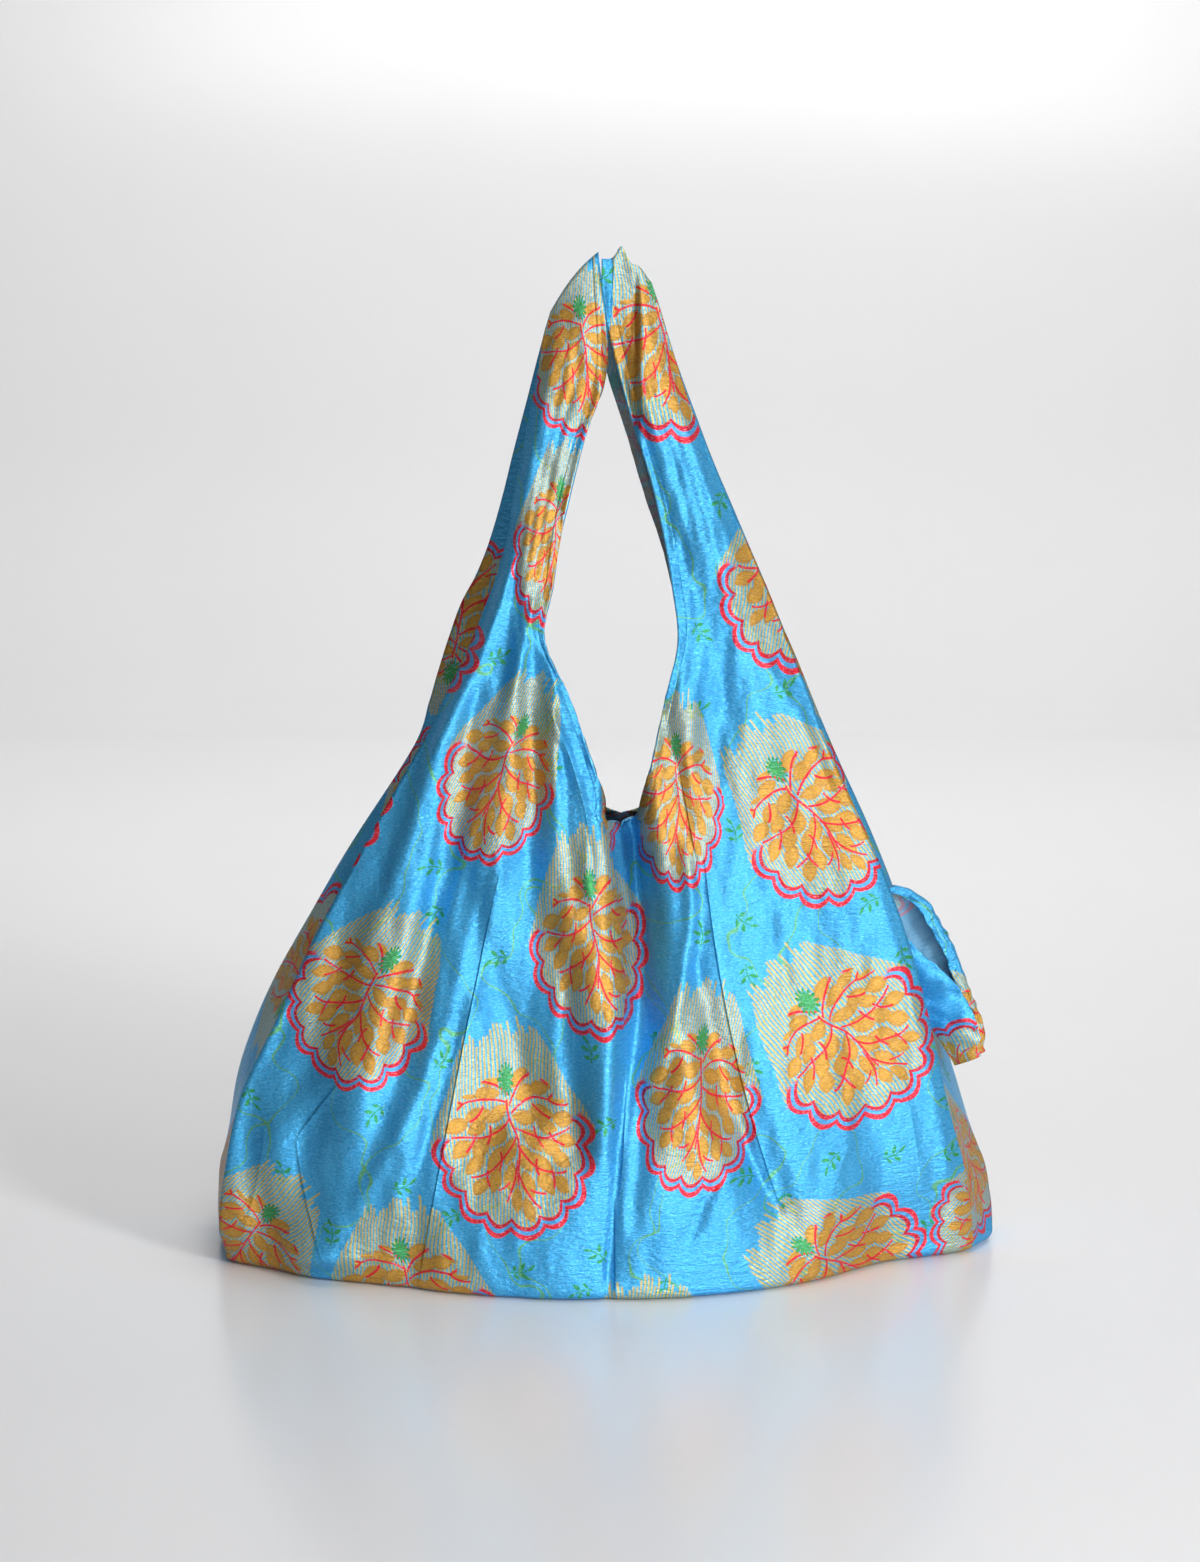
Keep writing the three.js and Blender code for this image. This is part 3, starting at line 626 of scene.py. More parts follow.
def sheet_mesh(name, points, quads, thick, materials, maps, outward=1.0):
    """A closed thin sheet: the right side, the wrong side and a strip along every open edge."""
    normals = vertex_normals(points, quads)
    half = (thick / 2)[:, None] * normals * outward
    count = len(points)
    skin = quads if outward > 0 else quads[:, ::-1]
    rim = open_edges(skin)
    strip = np.stack([rim[:, 1], rim[:, 0], rim[:, 0] + count, rim[:, 1] + count], 1)
    all_faces = np.concatenate([skin, skin[:, ::-1] + count, strip])
    places = (np.concatenate([points + half, points - half]) - MIDDLE) * MM
    mesh = smooth_mesh(name, places.tolist(), all_faces.tolist(), materials)
    slot = np.concatenate([np.zeros(len(skin), int), np.ones(len(skin), int), np.zeros(len(strip), int)])
    mesh.polygons.foreach_set("material_index", slot.astype(np.int32))
    for title, values in maps.items():
        ordered = values if outward > 0 else values[:, ::-1]
        edge_values = np.full((len(strip), 4, 2), NOTHING, np.float32)
        everything = np.concatenate([ordered, ordered[:, ::-1], edge_values]).astype(np.float32)
        layer = mesh.uv_layers.new(name=title)
        layer.data.foreach_set("uv", everything.reshape(-1))
    mesh.update()
    return placed(name, mesh)


def figure_maps(flat, quads, parts, zones):
    """The cloth, edge, fan and sprig coordinates of every corner. zones gives, for each part of the
    cloth, how its places are laid flat and which figures are woven there."""
    maps = {name: np.full((len(quads), 4, 2), NOTHING) for name in ("cloth", "fan", "sprig")}
    for flag, (flatten, figures) in zones.items():
        chosen = np.flatnonzero(parts == flag)
        corners = flatten(flat[quads[chosen]])
        maps["cloth"][chosen] = corners * MAP_UNIT
        centre = corners.mean(1)
        for name, rows, distances, place, reach in (
                ("fan", figures.fans, figures.fan_distances, fan_place, FAN_REACH),
                ("sprig", figures.sprigs, figures.sprig_distances, sprig_place, SPRIG_REACH)):
            which = nearest(distances(centre[:, 0], centre[:, 1]), reach)
            for i, row in enumerate(rows):
                own = which == i
                a, b = corners[own][..., 0], corners[own][..., 1]
                maps[name][chosen[own]] = np.stack(place(row, a, b), -1) * MAP_UNIT
    maps["edge"] = flat[quads][..., [3, 2]] * MAP_UNIT
    return maps


# Materials

def linear(red, green, blue):
    """A colour given in display values from 0 to 255, as the shader needs it."""
    def one(v):
        v /= 255
        return v / 12.92 if v <= 0.04045 else ((v + 0.055) / 1.055) ** 2.4
    return (one(red), one(green), one(blue), 1.0)


class Value:
    """A number in a material's node tree. Its operators and the methods below make Math nodes."""

    def __init__(self, shader, socket):
        self.shader, self.socket = shader, socket

    def math(self, operation, *others):
        return self.shader.number(operation, self, *others)

    def __neg__(self):
        return self * -1.0

    def step(self, low, high):
        """0 below low and 1 above high, smooth between. low may be above high."""
        ends = (low, high, 0.0, 1.0) if low < high else (high, low, 1.0, 0.0)
        node = self.shader.node("ShaderNodeMapRange", {"interpolation_type": "SMOOTHSTEP"},
                                dict(enumerate((self, *ends))))
        return Value(self.shader, node.outputs["Result"])


def method_of(operation, reflected=False):
    """A method of Value that makes one Math node. Its reflected form has the value second, as in 1 - v."""
    if reflected:
        return lambda self, other: self.shader.number(operation, other, self)
    return lambda self, *others: self.math(operation, *others)


for sign, operation in (("add", "ADD"), ("sub", "SUBTRACT"), ("mul", "MULTIPLY"), ("truediv", "DIVIDE")):
    setattr(Value, f"__{sign}__", method_of(operation))
    setattr(Value, f"__r{sign}__", method_of(operation, reflected=True))

for method, operation in (("__abs__", "ABSOLUTE"), ("__lt__", "LESS_THAN"), ("__gt__", "GREATER_THAN"),
                          ("least", "MINIMUM"), ("most", "MAXIMUM"), ("sine", "SINE"),
                          ("floor", "FLOOR"), ("fraction", "FRACT"), ("root", "SQRT")):
    setattr(Value, method, method_of(operation))


class Shader:
    """One material. node() makes any node from its type, its settings and its inputs."""

    def __init__(self, name):
        self.material = bpy.data.materials.new(name)
        self.material.use_nodes = True
        self.tree = self.material.node_tree
        self.tree.nodes.clear()
        self.skin = self.node("ShaderNodeBsdfPrincipled")
        out = self.node("ShaderNodeOutputMaterial")
        self.tree.links.new(self.skin.outputs["BSDF"], out.inputs["Surface"])

    def feed(self, slot, item):
        if isinstance(item, Value):
            self.tree.links.new(item.socket, slot)
        elif isinstance(item, bpy.types.NodeSocket):
            self.tree.links.new(item, slot)
        else:
            slot.default_value = item

    def node(self, kind, settings=None, inputs=None):
        node = self.tree.nodes.new(kind)
        for key, item in (settings or {}).items():
            setattr(node, key, item)
        for key, item in (inputs or {}).items():
            self.feed(node.inputs[key], item)
        return node

    def dress(self, inputs):
        for key, item in inputs.items():
            self.feed(self.skin.inputs[key], item)

    def number(self, operation, *items):
        node = self.node("ShaderNodeMath", {"operation": operation}, dict(enumerate(items)))
        return Value(self, node.outputs[0])

    def map(self, name):
        """The two coordinates of a map, in millimetres."""
        places = self.node("ShaderNodeUVMap", {"uv_map": name}).outputs["UV"]
        split = self.node("ShaderNodeSeparateXYZ", None, {"Vector": places})
        return tuple(Value(self, split.outputs[k]) * (1 / MAP_UNIT) for k in ("X", "Y"))

    def vector(self, x, y, z=0.0):
        return self.node("ShaderNodeCombineXYZ", None, {"X": x, "Y": y, "Z": z}).outputs["Vector"]

    def noise(self, vector, scale, detail=2.0, roughness=0.5):
        node = self.node("ShaderNodeTexNoise", {"noise_dimensions": "3D"},
                         {"Vector": vector, "Scale": scale, "Detail": detail, "Roughness": roughness})
        return Value(self, node.outputs["Fac"])

    def dot(self, place, direction, origin, scale):
        """How far a place (u, v, 1) lies from the origin along a direction, in units of scale."""
        offset = -(direction[0] * origin[0] + direction[1] * origin[1])
        constants = tuple(c / scale for c in (direction[0], direction[1], offset))
        node = self.node("ShaderNodeVectorMath", {"operation": "DOT_PRODUCT"}, {0: place, 1: constants})
        return Value(self, node.outputs["Value"])

    def local(self, place, origin, run, long, wide):
        """A place (u, v, 1) seen from an origin: lengthwise along run in units of long, and across in
        units of wide."""
        return self.dot(place, run, origin, long), self.dot(place, (-run[1], run[0]), origin, wide)

    def cell(self, number):
        """A random number from 0 to 1 for each whole number."""
        node = self.node("ShaderNodeTexWhiteNoise", {"noise_dimensions": "1D"}, {"W": number})
        return Value(self, node.outputs["Value"])

    def blend(self, low, high, share):
        settings = {"data_type": "RGBA", "clamp_factor": True}
        return self.node("ShaderNodeMix", settings, {0: share, 6: low, 7: high}).outputs[2]


def polar(u, v):
    """Distance from the origin, and the angle from the +v direction."""
    return (u * u + v * v).root(), u.math("ARCTAN2", v)


CYAN = linear(68, 168, 222)
CYAN_DEEP = linear(48, 146, 208)
# The pale cyan is painted sheen: flecks of painted highlight on the crepe
PAINTED_SHEEN_CYAN = linear(120, 204, 240)
GOLD = linear(208, 158, 58)
GOLD_DEEP = linear(182, 130, 42)
PALE_GOLD = linear(208, 182, 84)
HATCH_GROUND = linear(86, 172, 196)
RED = linear(228, 34, 46)
RED_DEEP = linear(206, 24, 38)
LAVENDER = linear(84, 160, 220)
GREEN = linear(56, 152, 84)
GREEN_DEEP = linear(44, 138, 70)
CROWN = linear(84, 172, 92)
VINE = linear(104, 176, 92)
SHADE_TINT = linear(168, 200, 222)
# Painted sheen: a pale glint colour of painted highlight and a dark cyan of painted shade
PAINTED_GLINT = linear(156, 220, 238)
PAINTED_SHADE_CYAN = linear(14, 88, 150)
WRONG_SIDE = linear(120, 158, 180)


def soft(value, edge, blur):
    """1 where value is below edge, with a soft border."""
    return value.step(edge + blur, edge - blur)


# The fan's drawing, in millimetres from its crown, v towards its tip. Only one half is given: the other
# is its mirror image, moved up by HALF_SHIFT so that the two sides branch by turns.
HALF_SHIFT = 5.5
LEAF_SWELL = 1.12
LINE = ("fromU", "fromV", "toU", "toV")
VEINS = each((*LINE, "bend"), [
    [0, 12, 20, -2, -2.5], [14, 1, 19, -10, 1.0], [20, -2, 31, -4, 1.0], [20, -2, 27, 4, 0.5],
    [1, 16, 26, 12, -3.0], [26, 12, 37, 7, -1.0], [26, 12, 37, 17, 1.0], [15, 14, 24, 22, 1.0],
    [1, 24, 26, 31, 3.0], [26, 31, 36, 30, 0.5], [22, 29, 30, 39, 1.0], [13, 25, 17, 36, 1.0],
    [0, 34, 20, 52, 2.5], [20, 52, 28, 53, 0.5], [19, 50, 19, 60, -0.5], [11, 42, 12, 52, 1.0],
    [0, 48, 10, 70, 2.0], [6, 60, 14, 63, 0.8],
])
LEAF = ("u", "v", "turn", "halfLong", "halfWide")
LEAVES = each(LEAF, [
    [9, 0, 120, 6.5, 3.6], [25, -9, 120, 6.5, 3.8], [31, 2, 95, 6.5, 3.8], [12, 8, 100, 7.0, 3.8],
    [21, 6, 95, 6.0, 3.4], [32, 12, 90, 6.5, 3.6], [19, 19, 75, 7.0, 4.0], [32, 24, 70, 7.0, 4.2],
    [8, 20, 70, 7.0, 3.6], [21, 26, 65, 6.0, 3.4], [32, 37, 60, 6.5, 3.8], [21, 37, 45, 7.5, 4.0],
    [10, 32, 40, 7.5, 4.0], [26, 46, 45, 6.5, 3.8], [14, 46, 35, 8.0, 4.2], [5, 42, 20, 7.5, 4.0],
    [15, 57, 25, 7.0, 3.8], [5, 57, 10, 8.0, 4.0], [24, 59, 40, 6.0, 3.4], [3, 70, 8, 6.0, 3.4],
])
SPRIG_LEAVES = each(LEAF, [[3.0, 1.6, 55, 2.9, 1.15], [2.6, -3.4, 62, 2.3, 1.0], [0, 6.2, 2, 2.8, 1.0]])


def leaf_distance(sh, place, leaves, swell=1.0):
    """Below 1 inside any of some pointed leaves, each turned by an angle in degrees."""
    distance = None
    for leaf in leaves:
        turn = math.radians(leaf["turn"])
        lengthwise, across = sh.local(place, (leaf["u"], leaf["v"]), (math.sin(turn), math.cos(turn)),
                                      leaf["halfLong"] * swell, leaf["halfWide"] * swell)
        far = lengthwise * lengthwise + abs(across)
        distance = far if distance is None else distance.least(far)
    return distance


def along_line(sh, place, row, wide):
    """A place seen from the middle of a row's line: lengthwise, -1 to 1 from end to end, and across in
    units of wide."""
    start, end = (row["fromU"], row["fromV"]), (row["toU"], row["toV"])
    long = math.dist(start, end)
    run = ((end[0] - start[0]) / long, (end[1] - start[1]) / long)
    middle = ((start[0] + end[0]) / 2, (start[1] + end[1]) / 2)
    return sh.local(place, middle, run, long / 2, wide)


def drawing(sh, u, v):
    """Two numbers for every place: a leaf's depth, above 0 inside one, and the distance to a vein."""
    half = sh.vector(abs(u), v + (u < 0) * HALF_SHIFT, 1.0)
    veins = abs(u + (v / 8).sine() * 1.2) + (abs(v - 33) - 24).most(0)
    for vein in VEINS:
        lengthwise, across = along_line(sh, half, vein, 1.0)
        past = lengthwise * lengthwise - 1
        veins = veins.least(abs(across + past * vein["bend"]) + past.most(0) * 9)
    return 1 - leaf_distance(sh, half, LEAVES, LEAF_SWELL), veins


# Pressed creases, too sharp for the mesh, in the cloth's own coordinates. Each rises at once on the
# line's left side, by its height, and falls away over its width on the right.
PRESSED = each((*LINE, "bend", "high", "wide", "steep"), [
    [-57, 245, -105, 4, -1.3, 1.2, 8, 7], [46, 301, 59, 230, 0, 0.9, 6, 5],
    [60, 254, 104, 50, -6.5, 1.3, 9, 7], [-33, 342, -3, 236, 6, 0.9, 5, 3], [9, 60, 9, -4, 0, 0.9, 4, 3],
    [15, 131, 11, 58, 1, 0.8, 3, 2], [-1, 600, 4, 538, 0, 1.2, 5, 3], [9, 600, 6, 545, 0, 0.7, 5, 2],
    [-148, 124, -177, 84, 0, 0.9, 8, 4], [-177, 84, -160, 14, -3, 1.0, 8, 4],
    [-64, 206, -92, 120, 4, 0.4, 5, 1], [92, 290, 112, 196, 5, 0.4, 7, 1],
    [150, 90, 132, 40, -3, 0.4, 7, 1], [-196, 90, -210, 24, 2, 0.6, 6, 2],
    [176, 120, 190, 40, 2, 0.4, 6, 2],
])
# Bands of close cross ripples: along a line, to a distance on both sides
CRINKLED = each((*LINE, "wide", "high"), [
    [46, 440, 88, 326, 15, 1.0], [-34, 356, -4, 268, 9, 0.7], [-60, 420, -112, 240, 10, 0.5],
    [120, 60, 60, 20, 24, 0.3], [-80, 240, -118, 60, 14, 0.5], [50, 250, 30, 130, 10, 0.7],
])


def pressed(sh, a, b):
    """The height of the pressed creases and the cross ripples, in millimetres."""
    place = sh.vector(a, b, 1.0)
    height = 0.0
    for row in PRESSED:
        lengthwise, across = along_line(sh, place, row, row["wide"])
        away = (1 - lengthwise * lengthwise).most(0)
        across = across - away * (row["bend"] / row["wide"])
        tent = (1 - across.most(across * -row["steep"])).most(0)
        height = tent * tent * away.root() * row["high"] + height
    ripples = sh.noise(sh.vector(a * 0.2, b * 1.0), 0.42, 2.0, 0.5)
    for row in CRINKLED:
        lengthwise, across = along_line(sh, place, row, row["wide"])
        away = (1 - lengthwise * lengthwise).most(0)
        height = (1 - across * across).most(0) * away * ripples * row["high"] + height
    return height


def sprig_of(sh, u, v):
    """Two pairs of small leaves and one at the tip, on a curved stem."""
    leaves = leaf_distance(sh, sh.vector(abs(u), v, 1.0), SPRIG_LEAVES)
    stem = soft(abs(u), 0.42, 0.25) * soft(abs(v + 1.5), 5.0, 0.5)
    return soft(leaves, 1.0, 0.2).most(stem)


VINES = each(("pitch", "phase", "wave", "sway"), [[58.0, 0.0, 15.0, 13.0], [83.0, 31.0, 23.0, 19.0]])
VINE_SPREAD = 52
FIGURE_DRIFT = 7
FAN_EDGE = 44.0
SCALLOP_TURN, SCALLOP_HIGH = math.radians(23.5), 5.0
STROKE_PITCH = 2.1
BORDER_LINES = ((LAVENDER, 2.5, 2.4, 0.3), (RED, 0.0, 1.5, 0.25), (RED_DEEP, 5.1, 1.2, 0.25))
WRONG_SIDE_SHARE = 0.6


def brocade(name, wrong_side=False, creased=False):
    sh = Shader(name)
    (u, v), (a, b), (su, sv), (edge, run) = (sh.map(k) for k in ("fan", "cloth", "sprig", "edge"))
    wander = sh.node("ShaderNodeTexNoise", {"noise_dimensions": "2D"},
                     {"Vector": sh.vector(a, b), "Scale": 0.03, "Detail": 1.0})
    spread = sh.node("ShaderNodeSeparateXYZ", None, {"Vector": wander.outputs["Color"]})
    drift_a, drift_b = (Value(sh, spread.outputs[k]) - 0.5 for k in ("X", "Y"))
    u, v = u + drift_a * FIGURE_DRIFT, v + drift_b * FIGURE_DRIFT

    # The layers of colour lie one over the other on plain cyan, each with its share
    streaks = sh.noise(sh.vector(a * 0.5, b * 0.08), 0.3, 2.0)
    # Painted sheen: fine flecks of pale cyan stand for light caught by the crepe; the same noise also
    # varies the gold's tone
    sheen_and_tone_speckle = sh.noise(sh.vector(a * 0.8, b * 1.8), 1.0, 1.0)
    layers = [(CYAN_DEEP, streaks.step(0.35, 0.75) * 0.4), (PAINTED_SHEEN_CYAN, sheen_and_tone_speckle.step(0.5, 0.8) * 0.3)]

    # Thin vines that wander between the figures, and the sprigs
    for row in VINES:
        turn = b / row["wave"] + row["phase"]
        line = (a + drift_a * VINE_SPREAD + turn.sine() * row["sway"]) / row["pitch"]
        slope = (turn + math.pi / 2).sine() * (row["sway"] / row["wave"])
        vine = abs(line.fraction() - 0.5) * row["pitch"] / (slope * slope + 1).root()
        layers.append((VINE, soft(vine, 0.55, 0.3) * 0.85))
    sprig = sprig_of(sh, su + sv * sv * 0.035, sv)
    layers.append((GREEN, sprig))

    # The fan: hatched ground, leaves on forked veins and a double scalloped border
    radius, around = polar(u, v - FAN_HEART)
    scallop = (around / SCALLOP_TURN + 20.5).fraction() - 0.5
    border = radius - (1 - scallop * scallop * 4) * SCALLOP_HIGH - FAN_EDGE
    stripe = (u + (v * 0.12)) / STROKE_PITCH
    ragged = sh.cell(stripe.floor())
    strokes = abs(stripe.fraction() - 0.5).step(0.34, 0.24)
    comb = (abs(u) - v * 0.5 - 36).most(ragged * 13 - v - 36).most(v - 30)
    hatch = soft(comb, 0.0, 0.5).most(soft(border, -4.0, 0.4))
    leaf, vein = drawing(sh, u, v)
    inside = soft(border, -6.0, 0.5)
    golden = soft(-leaf, 0.0, 0.14) * inside
    gold = sh.blend(GOLD_DEEP, GOLD, leaf.step(-0.1, 0.6) * sheen_and_tone_speckle.step(0.75, 0.4))
    layers += [(HATCH_GROUND, hatch * 0.35), (PALE_GOLD, hatch * strokes * 0.88), (gold, golden),
               (RED, soft(vein, 0.65, 0.25) * inside)]
    ends = abs(around).step(1.9, 1.82)
    for tint, line, half_wide, blur in BORDER_LINES:
        layers.append((tint, soft(abs(border + line), half_wide, blur) * ends))

    # The spiky crown, longer than wide
    far, turn = polar(u * 1.35, v * 0.8 + 1)
    spikes = far - abs((turn * 6.5 + 0.6).sine()) * 3.8 - 3.4
    layers += [(GREEN_DEEP, soft(spikes, 0, 0.4)), (CROWN, soft(spikes, -1.4, 0.8) * 0.6)]

    # The crepe's painted sheen: pale flecks of painted highlight, and painted shade between them
    painted_sheen_noise = sh.noise(sh.vector(a * 0.5, b * 0.95), 1.15, 2.0, 0.6)
    layers += [(PAINTED_GLINT, painted_sheen_noise.step(0.5, 0.72) * (0.34 - golden * 0.22)),
               (PAINTED_SHADE_CYAN, painted_sheen_noise.step(0.5, 0.3) * 0.26)]
    if wrong_side:
        layers.append((WRONG_SIDE, WRONG_SIDE_SHARE))
    colour = CYAN
    for tint, share in layers:
        colour = sh.blend(colour, tint, share)

    # Relief in millimetres: crepe, the stitched hem, its puckers and the pressed creases
    crepe = sh.noise(sh.vector(a * 0.36, b * 1.0), 0.5, 4.0, 0.62)
    stitched = soft(abs(edge - HEM + 0.5), 0.4, 0.5)
    puckered = (run * 1.7 + edge * 0.5).sine() * soft(edge, HEM + 1, 2.0)
    height = crepe * 1.5 - stitched * 0.25 + puckered * 0.08
    if creased:
        height = height + pressed(sh, a, b)
    bump = sh.node("ShaderNodeBump", None, {"Strength": 1.0, "Distance": MM, "Height": height})
    sh.dress({"Base Color": colour, "Normal": bump.outputs["Normal"],
              "Roughness": hatch.most(sprig) * 0.07 + 0.27 + crepe * 0.1})
    if wrong_side:
        sh.dress({"Specular IOR Level": 0.3})
    else:
        sh.dress({"Specular IOR Level": 0.45, "Metallic": 0.5, "Specular Tint": SHADE_TINT,
                  "Anisotropic": 0.55, "Anisotropic Rotation": 0.25})
    return sh.material


satin_front = brocade("satin_brocade_front", creased=True)
satin = brocade("satin_brocade")
satin_wrong = brocade("satin_brocade_wrong_side", True)


# The two panels

HEM_COLUMNS = 7
GUSSET_CROWDING = 1.15
GUSSET_STRETCH = 1.15


def columns_of(gusset_steps, wall_steps, near_fold):
    gusset = -np.power(np.arange(gusset_steps, 0, -1) / gusset_steps, GUSSET_CROWDING)
    k = np.arange(wall_steps + 1) / wall_steps
    return np.concatenate([gusset, k + near_fold * np.sin(2 * math.pi * k) * k * (1 - k)])


def wall_flat(sign):
    return lambda p: np.stack([p[..., 0] * sign, p[..., 2]], -1)


def gusset_flat(p):
    return np.stack([p[..., 1] * GUSSET_STRETCH, p[..., 2]], -1)


def panel(name, quarters, columns, steps, figures, side_figures, sign, outward, material):
    points, flat, hem, quads, parts = net_of(*quarters, columns, *steps)
    zones = {WALL: (wall_flat(sign), figures), GUSSET: (gusset_flat, side_figures)}
    thick = CLOTH * 2 + hem * HEM_SWELL * 2
    maps = figure_maps(flat, quads, parts, zones)
    return sheet_mesh(name, points, quads, thick, [material, satin_wrong], maps, outward)


FANS_SIDE = each(FAN, [
    [32, 345, 32, 425, 84], [20, 258, 18, 320, 64], [30, 140, 34, 218, 88], [-42, 88, -12, 8, 84],
    [-40, 330, -30, 250, 84],
])
SPRIGS_SIDE = scatter_sprigs([(30, 290), (-34, 250), (20, 100), (-50, 120), (36, 455), (-20, 300)], 23)
BASE_STEPS = (0, 0.15, 0.35, 0.55, 0.75, 1)
ROUND_STEPS = (0.2, 0.4, 0.6, 0.8)

folds_front = (CREASES_FRONT, FINE_FRONT, crinkled_front, -1)
folds_rear = (CREASES_REAR, [], crinkled_rear, 1)

front = panel(
    "front_panel_cloth",
    [Quarter(FOLD_FRONT_LEFT, BOW_FRONT, HEM_FRONT_LEFT, SEAM_LEFT, *folds_front, ()),
     Quarter(FOLD_FRONT_RIGHT, BOW_FRONT, HEM_FRONT_RIGHT, SEAM_RIGHT, *folds_front,
             ((0.6, 0.13, 1.0), (0.25, 0.15, 0.35)))],
    columns_of(16, 76, 0.12), (112, 100, BASE_STEPS, ROUND_STEPS, 0.05),
    Figures(FANS_FRONT, SPRIGS_FRONT, CUT_FRONT), Figures(FANS_SIDE, SPRIGS_SIDE), 1, 1.0, satin_front)
back = panel(
    "back_panel_cloth",
    [Quarter(FOLD_REAR_LEFT, BOW_REAR, HEM_REAR_LEFT, SEAM_LEFT, *folds_rear, ()),
     Quarter(FOLD_REAR_RIGHT, BOW_REAR, HEM_REAR_RIGHT, SEAM_RIGHT, *folds_rear, ())],
    columns_of(16, 56, 0.1), (84, 100, BASE_STEPS, ROUND_STEPS, 0.05),
    lattice(43, (-240, 0), (240, 600)), Figures(FANS_SIDE, SPRIGS_SIDE), -1, -1.0, satin)


# The stow pouch

POUCH_TOP = np.array([172.0, 0.0, 217.0])
POUCH_FOOT = np.array([222.0, 0.0, 113.0])
POUCH_HEM = 7
POUCH_PITCH = 7
POUCH_COLUMNS = ("z", "rim", "lip", "deep", "open")
POUCH_SECTIONS = rows_of(POUCH_COLUMNS, [
    [0, 5, 1, -12, 0.35], [6, 12, -2, -19, 0.6], [18, 18.5, -3, -21.6, 0.9], [32, 20, -1, -21.2, 1],
    [46, 21, 4, -20, 1], [62, 20, 11, -17, 0.8], [78, 18.5, 14, -14, 0.65], [95, 17.5, 14, -11, 0.65],
    [106, 15.5, 12, -10, 0.6], [112, 11, 8, -9, 0.5],
])
POUCH_OUTLINE = [
    ("lip", "lip", 0, -13), ("lip", "deep", 0.3, -13), ("lip", "deep", 0.65, -8),
    ("lip", "deep", 0.9, -2.8), ("lip", "deep", 1, 0), ("deep", "rim", 0.12, 3.5),
    ("deep", "rim", 0.4, 8), ("deep", "rim", 0.7, 10), ("deep", "rim", 0.92, 8),
    ("deep", "rim", 1, 3.5), ("deep", "rim", 0.96, -1.2),
]
POUCH_RUFFLES = ((37, 1.6, 1), (21, 0.4, 4))
POUCH_CRUMPLE = Waves(31, 8, 11, 15)


def pouch_net(down, around):
    length = float(np.linalg.norm(POUCH_FOOT - POUCH_TOP))
    run = (POUCH_FOOT - POUCH_TOP) / length
    out = np.array([-run[2], 0, run[0]])
    points = np.zeros((down + 1, around + 1, 3))
    flat = np.zeros((down + 1, around + 1, 4))
    r = np.arange(around + 1) / around * len(POUCH_OUTLINE)
    for j in range(down + 1):
        v = j / down
        z = v * length
        at = {k: float(at_height(POUCH_SECTIONS, k, np.array([z]))[0]) for k in POUCH_COLUMNS[1:]}
        outs = [mix(at[f], at[t], k) for f, t, k, _ in POUCH_OUTLINE] + [at["rim"] - POUCH_HEM]
        apart = [p for *_, p in POUCH_OUTLINE] + [-2]
        ruffle = sum(high * np.sin(2 * math.pi * z / every + start + r / 3)
                     for every, high, start in POUCH_RUFFLES)
        freedom = smooth(v / 0.12) * smooth((1 - v) / 0.12) * smooth(np.abs(r - 4) / 3)
        across = along(np.array(apart, float), r) * at["open"] + ruffle * freedom
        across = across + POUCH_CRUMPLE(r * 6, z) * 0.4 * freedom
        outward = along(np.array(outs, float), r) + POUCH_CRUMPLE(z, r * 6) * 0.25 * freedom
        points[j] = POUCH_TOP + z * run + outward[:, None] * out + across[:, None] * np.array([0, 1, 0])
        to_hem = (len(POUCH_OUTLINE) - r) * POUCH_PITCH
        flat[j] = np.stack([r * POUCH_PITCH, r * 0, np.full_like(r, z), to_hem], -1)
    index = np.arange((down + 1) * (around + 1)).reshape(down + 1, around + 1)
    return points.reshape(-1, 3), flat.reshape(-1, 4), quads_of(index)


pouch_points, pouch_flat, pouch_quads = pouch_net(84, 88)
pouch_figures = Figures(each(FAN, [[92, 84, 62, 150, 84], [10, 150, 24, 88, 80], [20, -30, 34, 26, 84]]),
                        scatter_sprigs([(14, 46), (62, 44), (40, 70)], 24))
pouch_maps = figure_maps(pouch_flat, pouch_quads, np.full(len(pouch_quads), WALL),
                         {WALL: (wall_flat(1), pouch_figures)})
pouch = sheet_mesh("stow_pouch_cloth", pouch_points, pouch_quads, np.full(len(pouch_points), 0.6),
                   [satin_wrong, satin], pouch_maps, -1.0)

for piece, node, slot in ((front, "front_panel", "front_satin"), (back, "back_panel", "back_satin"),
                          (pouch, "stow_pouch", "pouch_satin")):
    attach(piece, "root")
    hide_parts(node)


# Floor, backdrop, light and camera

def plain(name, colour, roughness):
    sh = Shader(name)
    place = sh.node("ShaderNodeTexCoord").outputs["Object"]
    shade = sh.noise(place, 3.0, 2.0)
    darker = tuple(c * 0.97 for c in colour[:3]) + (1,)
    sh.dress({"Base Color": sh.blend(colour, darker, shade), "Roughness": roughness})
    return sh.material


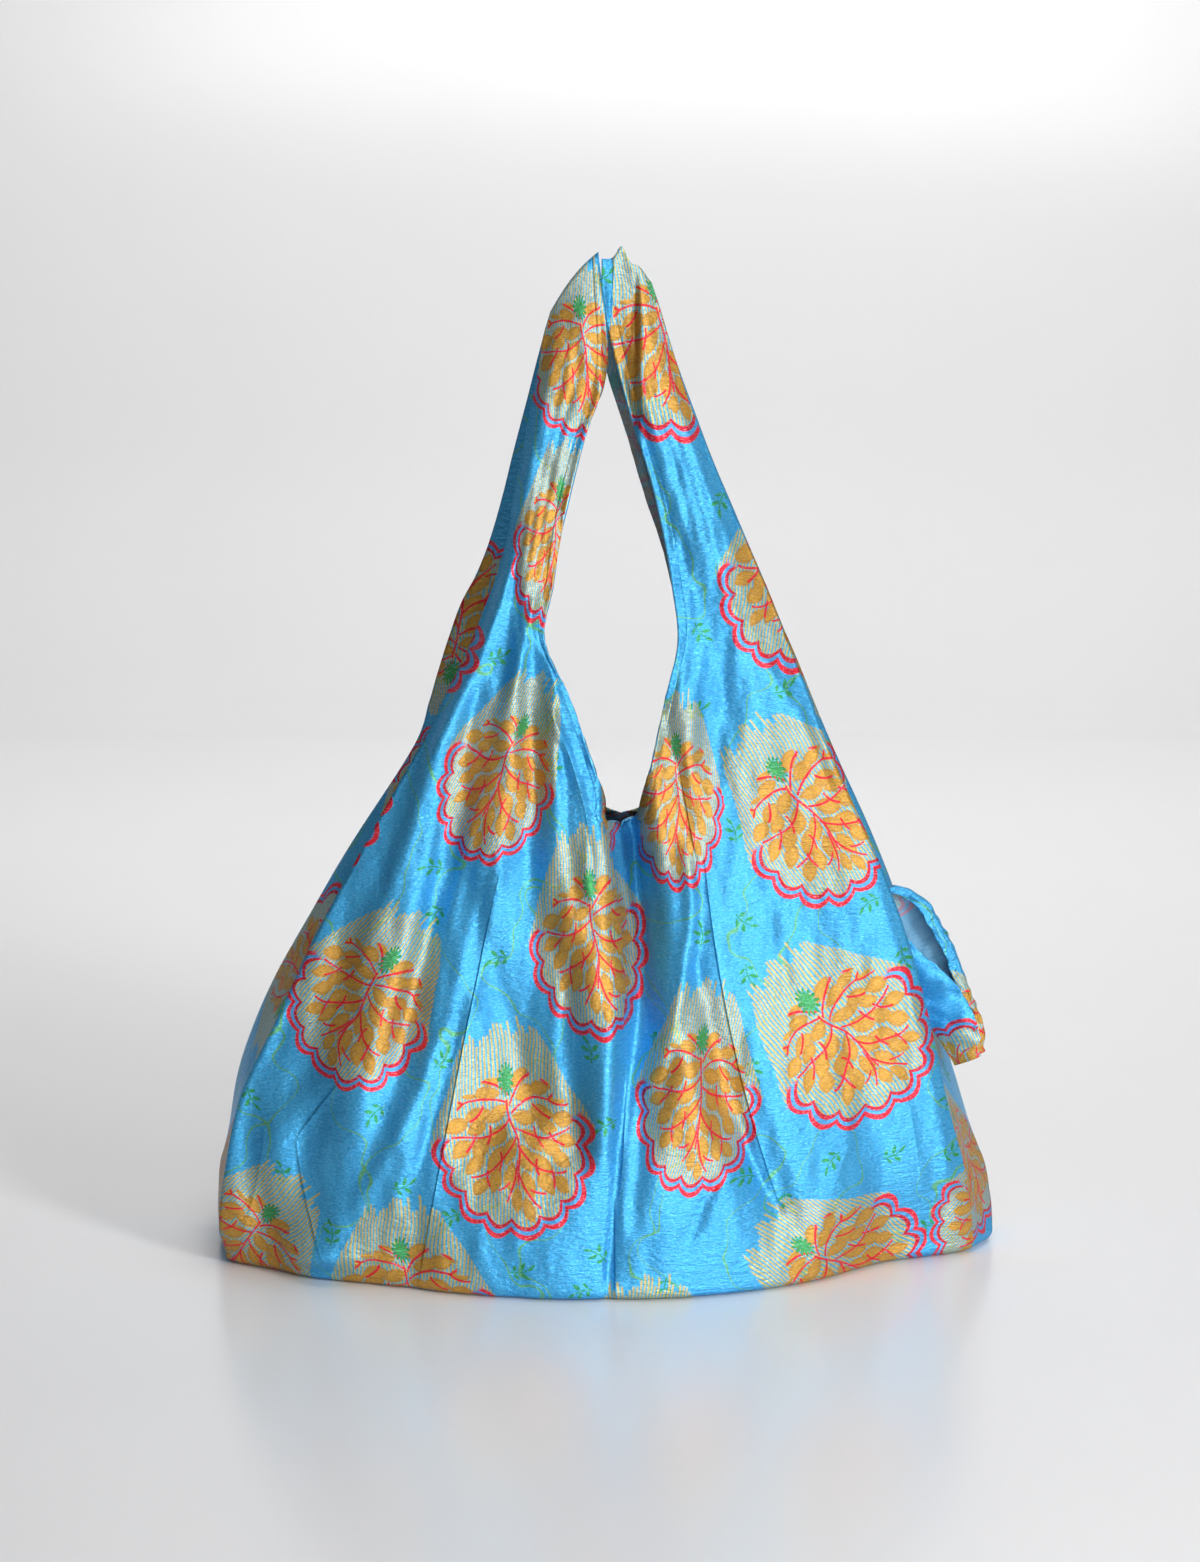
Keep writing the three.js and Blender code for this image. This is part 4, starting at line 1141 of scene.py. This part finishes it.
def sweep(name, profile, half_wide, material):
    """A sheet of the stage: a profile of (y, z) points drawn out along x."""
    points = [(x, y, z) for y, z in profile for x in (-half_wide, half_wide)]
    faces = [(2 * i, 2 * i + 1, 2 * i + 3, 2 * i + 2) for i in range(len(profile) - 1)]
    obj = placed(name, smooth_mesh(name, points, faces, [material]))
    return obj


bend = [(2.2 + 1.2 * math.sin(k * math.pi / 24), 1.2 - 1.2 * math.cos(k * math.pi / 24)) for k in range(13)]
sweep("floor", [(-6, 0), (2.2, 0)] + bend[1:] + [(3.4, 6)], 8,
      plain("studio_floor", linear(236, 236, 237), 0.25))


def area_light(name, place, aim, size, power):
    data = bpy.data.lights.new(name, "AREA")
    data.shape, data.size, data.size_y = "RECTANGLE", size[0], size[1]
    data.energy = power
    light = placed(name, data)
    light.location = place
    direction = np.array(aim) - np.array(place)
    flat_run = math.hypot(direction[0], direction[1])
    light.rotation_euler = (math.atan2(flat_run, -direction[2]), 0, math.atan2(-direction[0], direction[1]))
    return light


area_light("key_right", (1.42, -1.92, 0.85), (0, 0, 0.18), (0.4, 1.5), 47)
area_light("front_soft", (0.5, -2.6, 2.2), (0, 0, 0.2), (1.0, 0.8), 8)
area_light("front_low", (0.5, -1.9, 0.1), (0, 0, 0.06), (1.2, 0.16), 13)
area_light("top", (0.35, -0.4, 2.4), (0, -0.2, 0), (1.6, 1.0), 18)
area_light("backdrop_light", (0.2, 1.0, 2.4), (-0.2, 3.3, 0.9), (2.4, 1.2), 56)

world = bpy.data.worlds.new("studio")
bpy.context.scene.world = world
world.use_nodes = True
background = world.node_tree.nodes["Background"]
background.inputs["Color"].default_value = (1.0, 1.0, 1.0, 1)
background.inputs["Strength"].default_value = 0.07

camera_data = bpy.data.cameras.new("camera")
camera_data.lens, camera_data.sensor_width = 88.06, 36.0
camera = placed("camera", camera_data)
camera.location = (-0.0033, -2.2429, 0.629)
camera.rotation_euler = (math.radians(90 - 8.755), 0, 0)
bpy.context.scene.camera = camera
bpy.context.scene.view_settings.view_transform = "Standard"
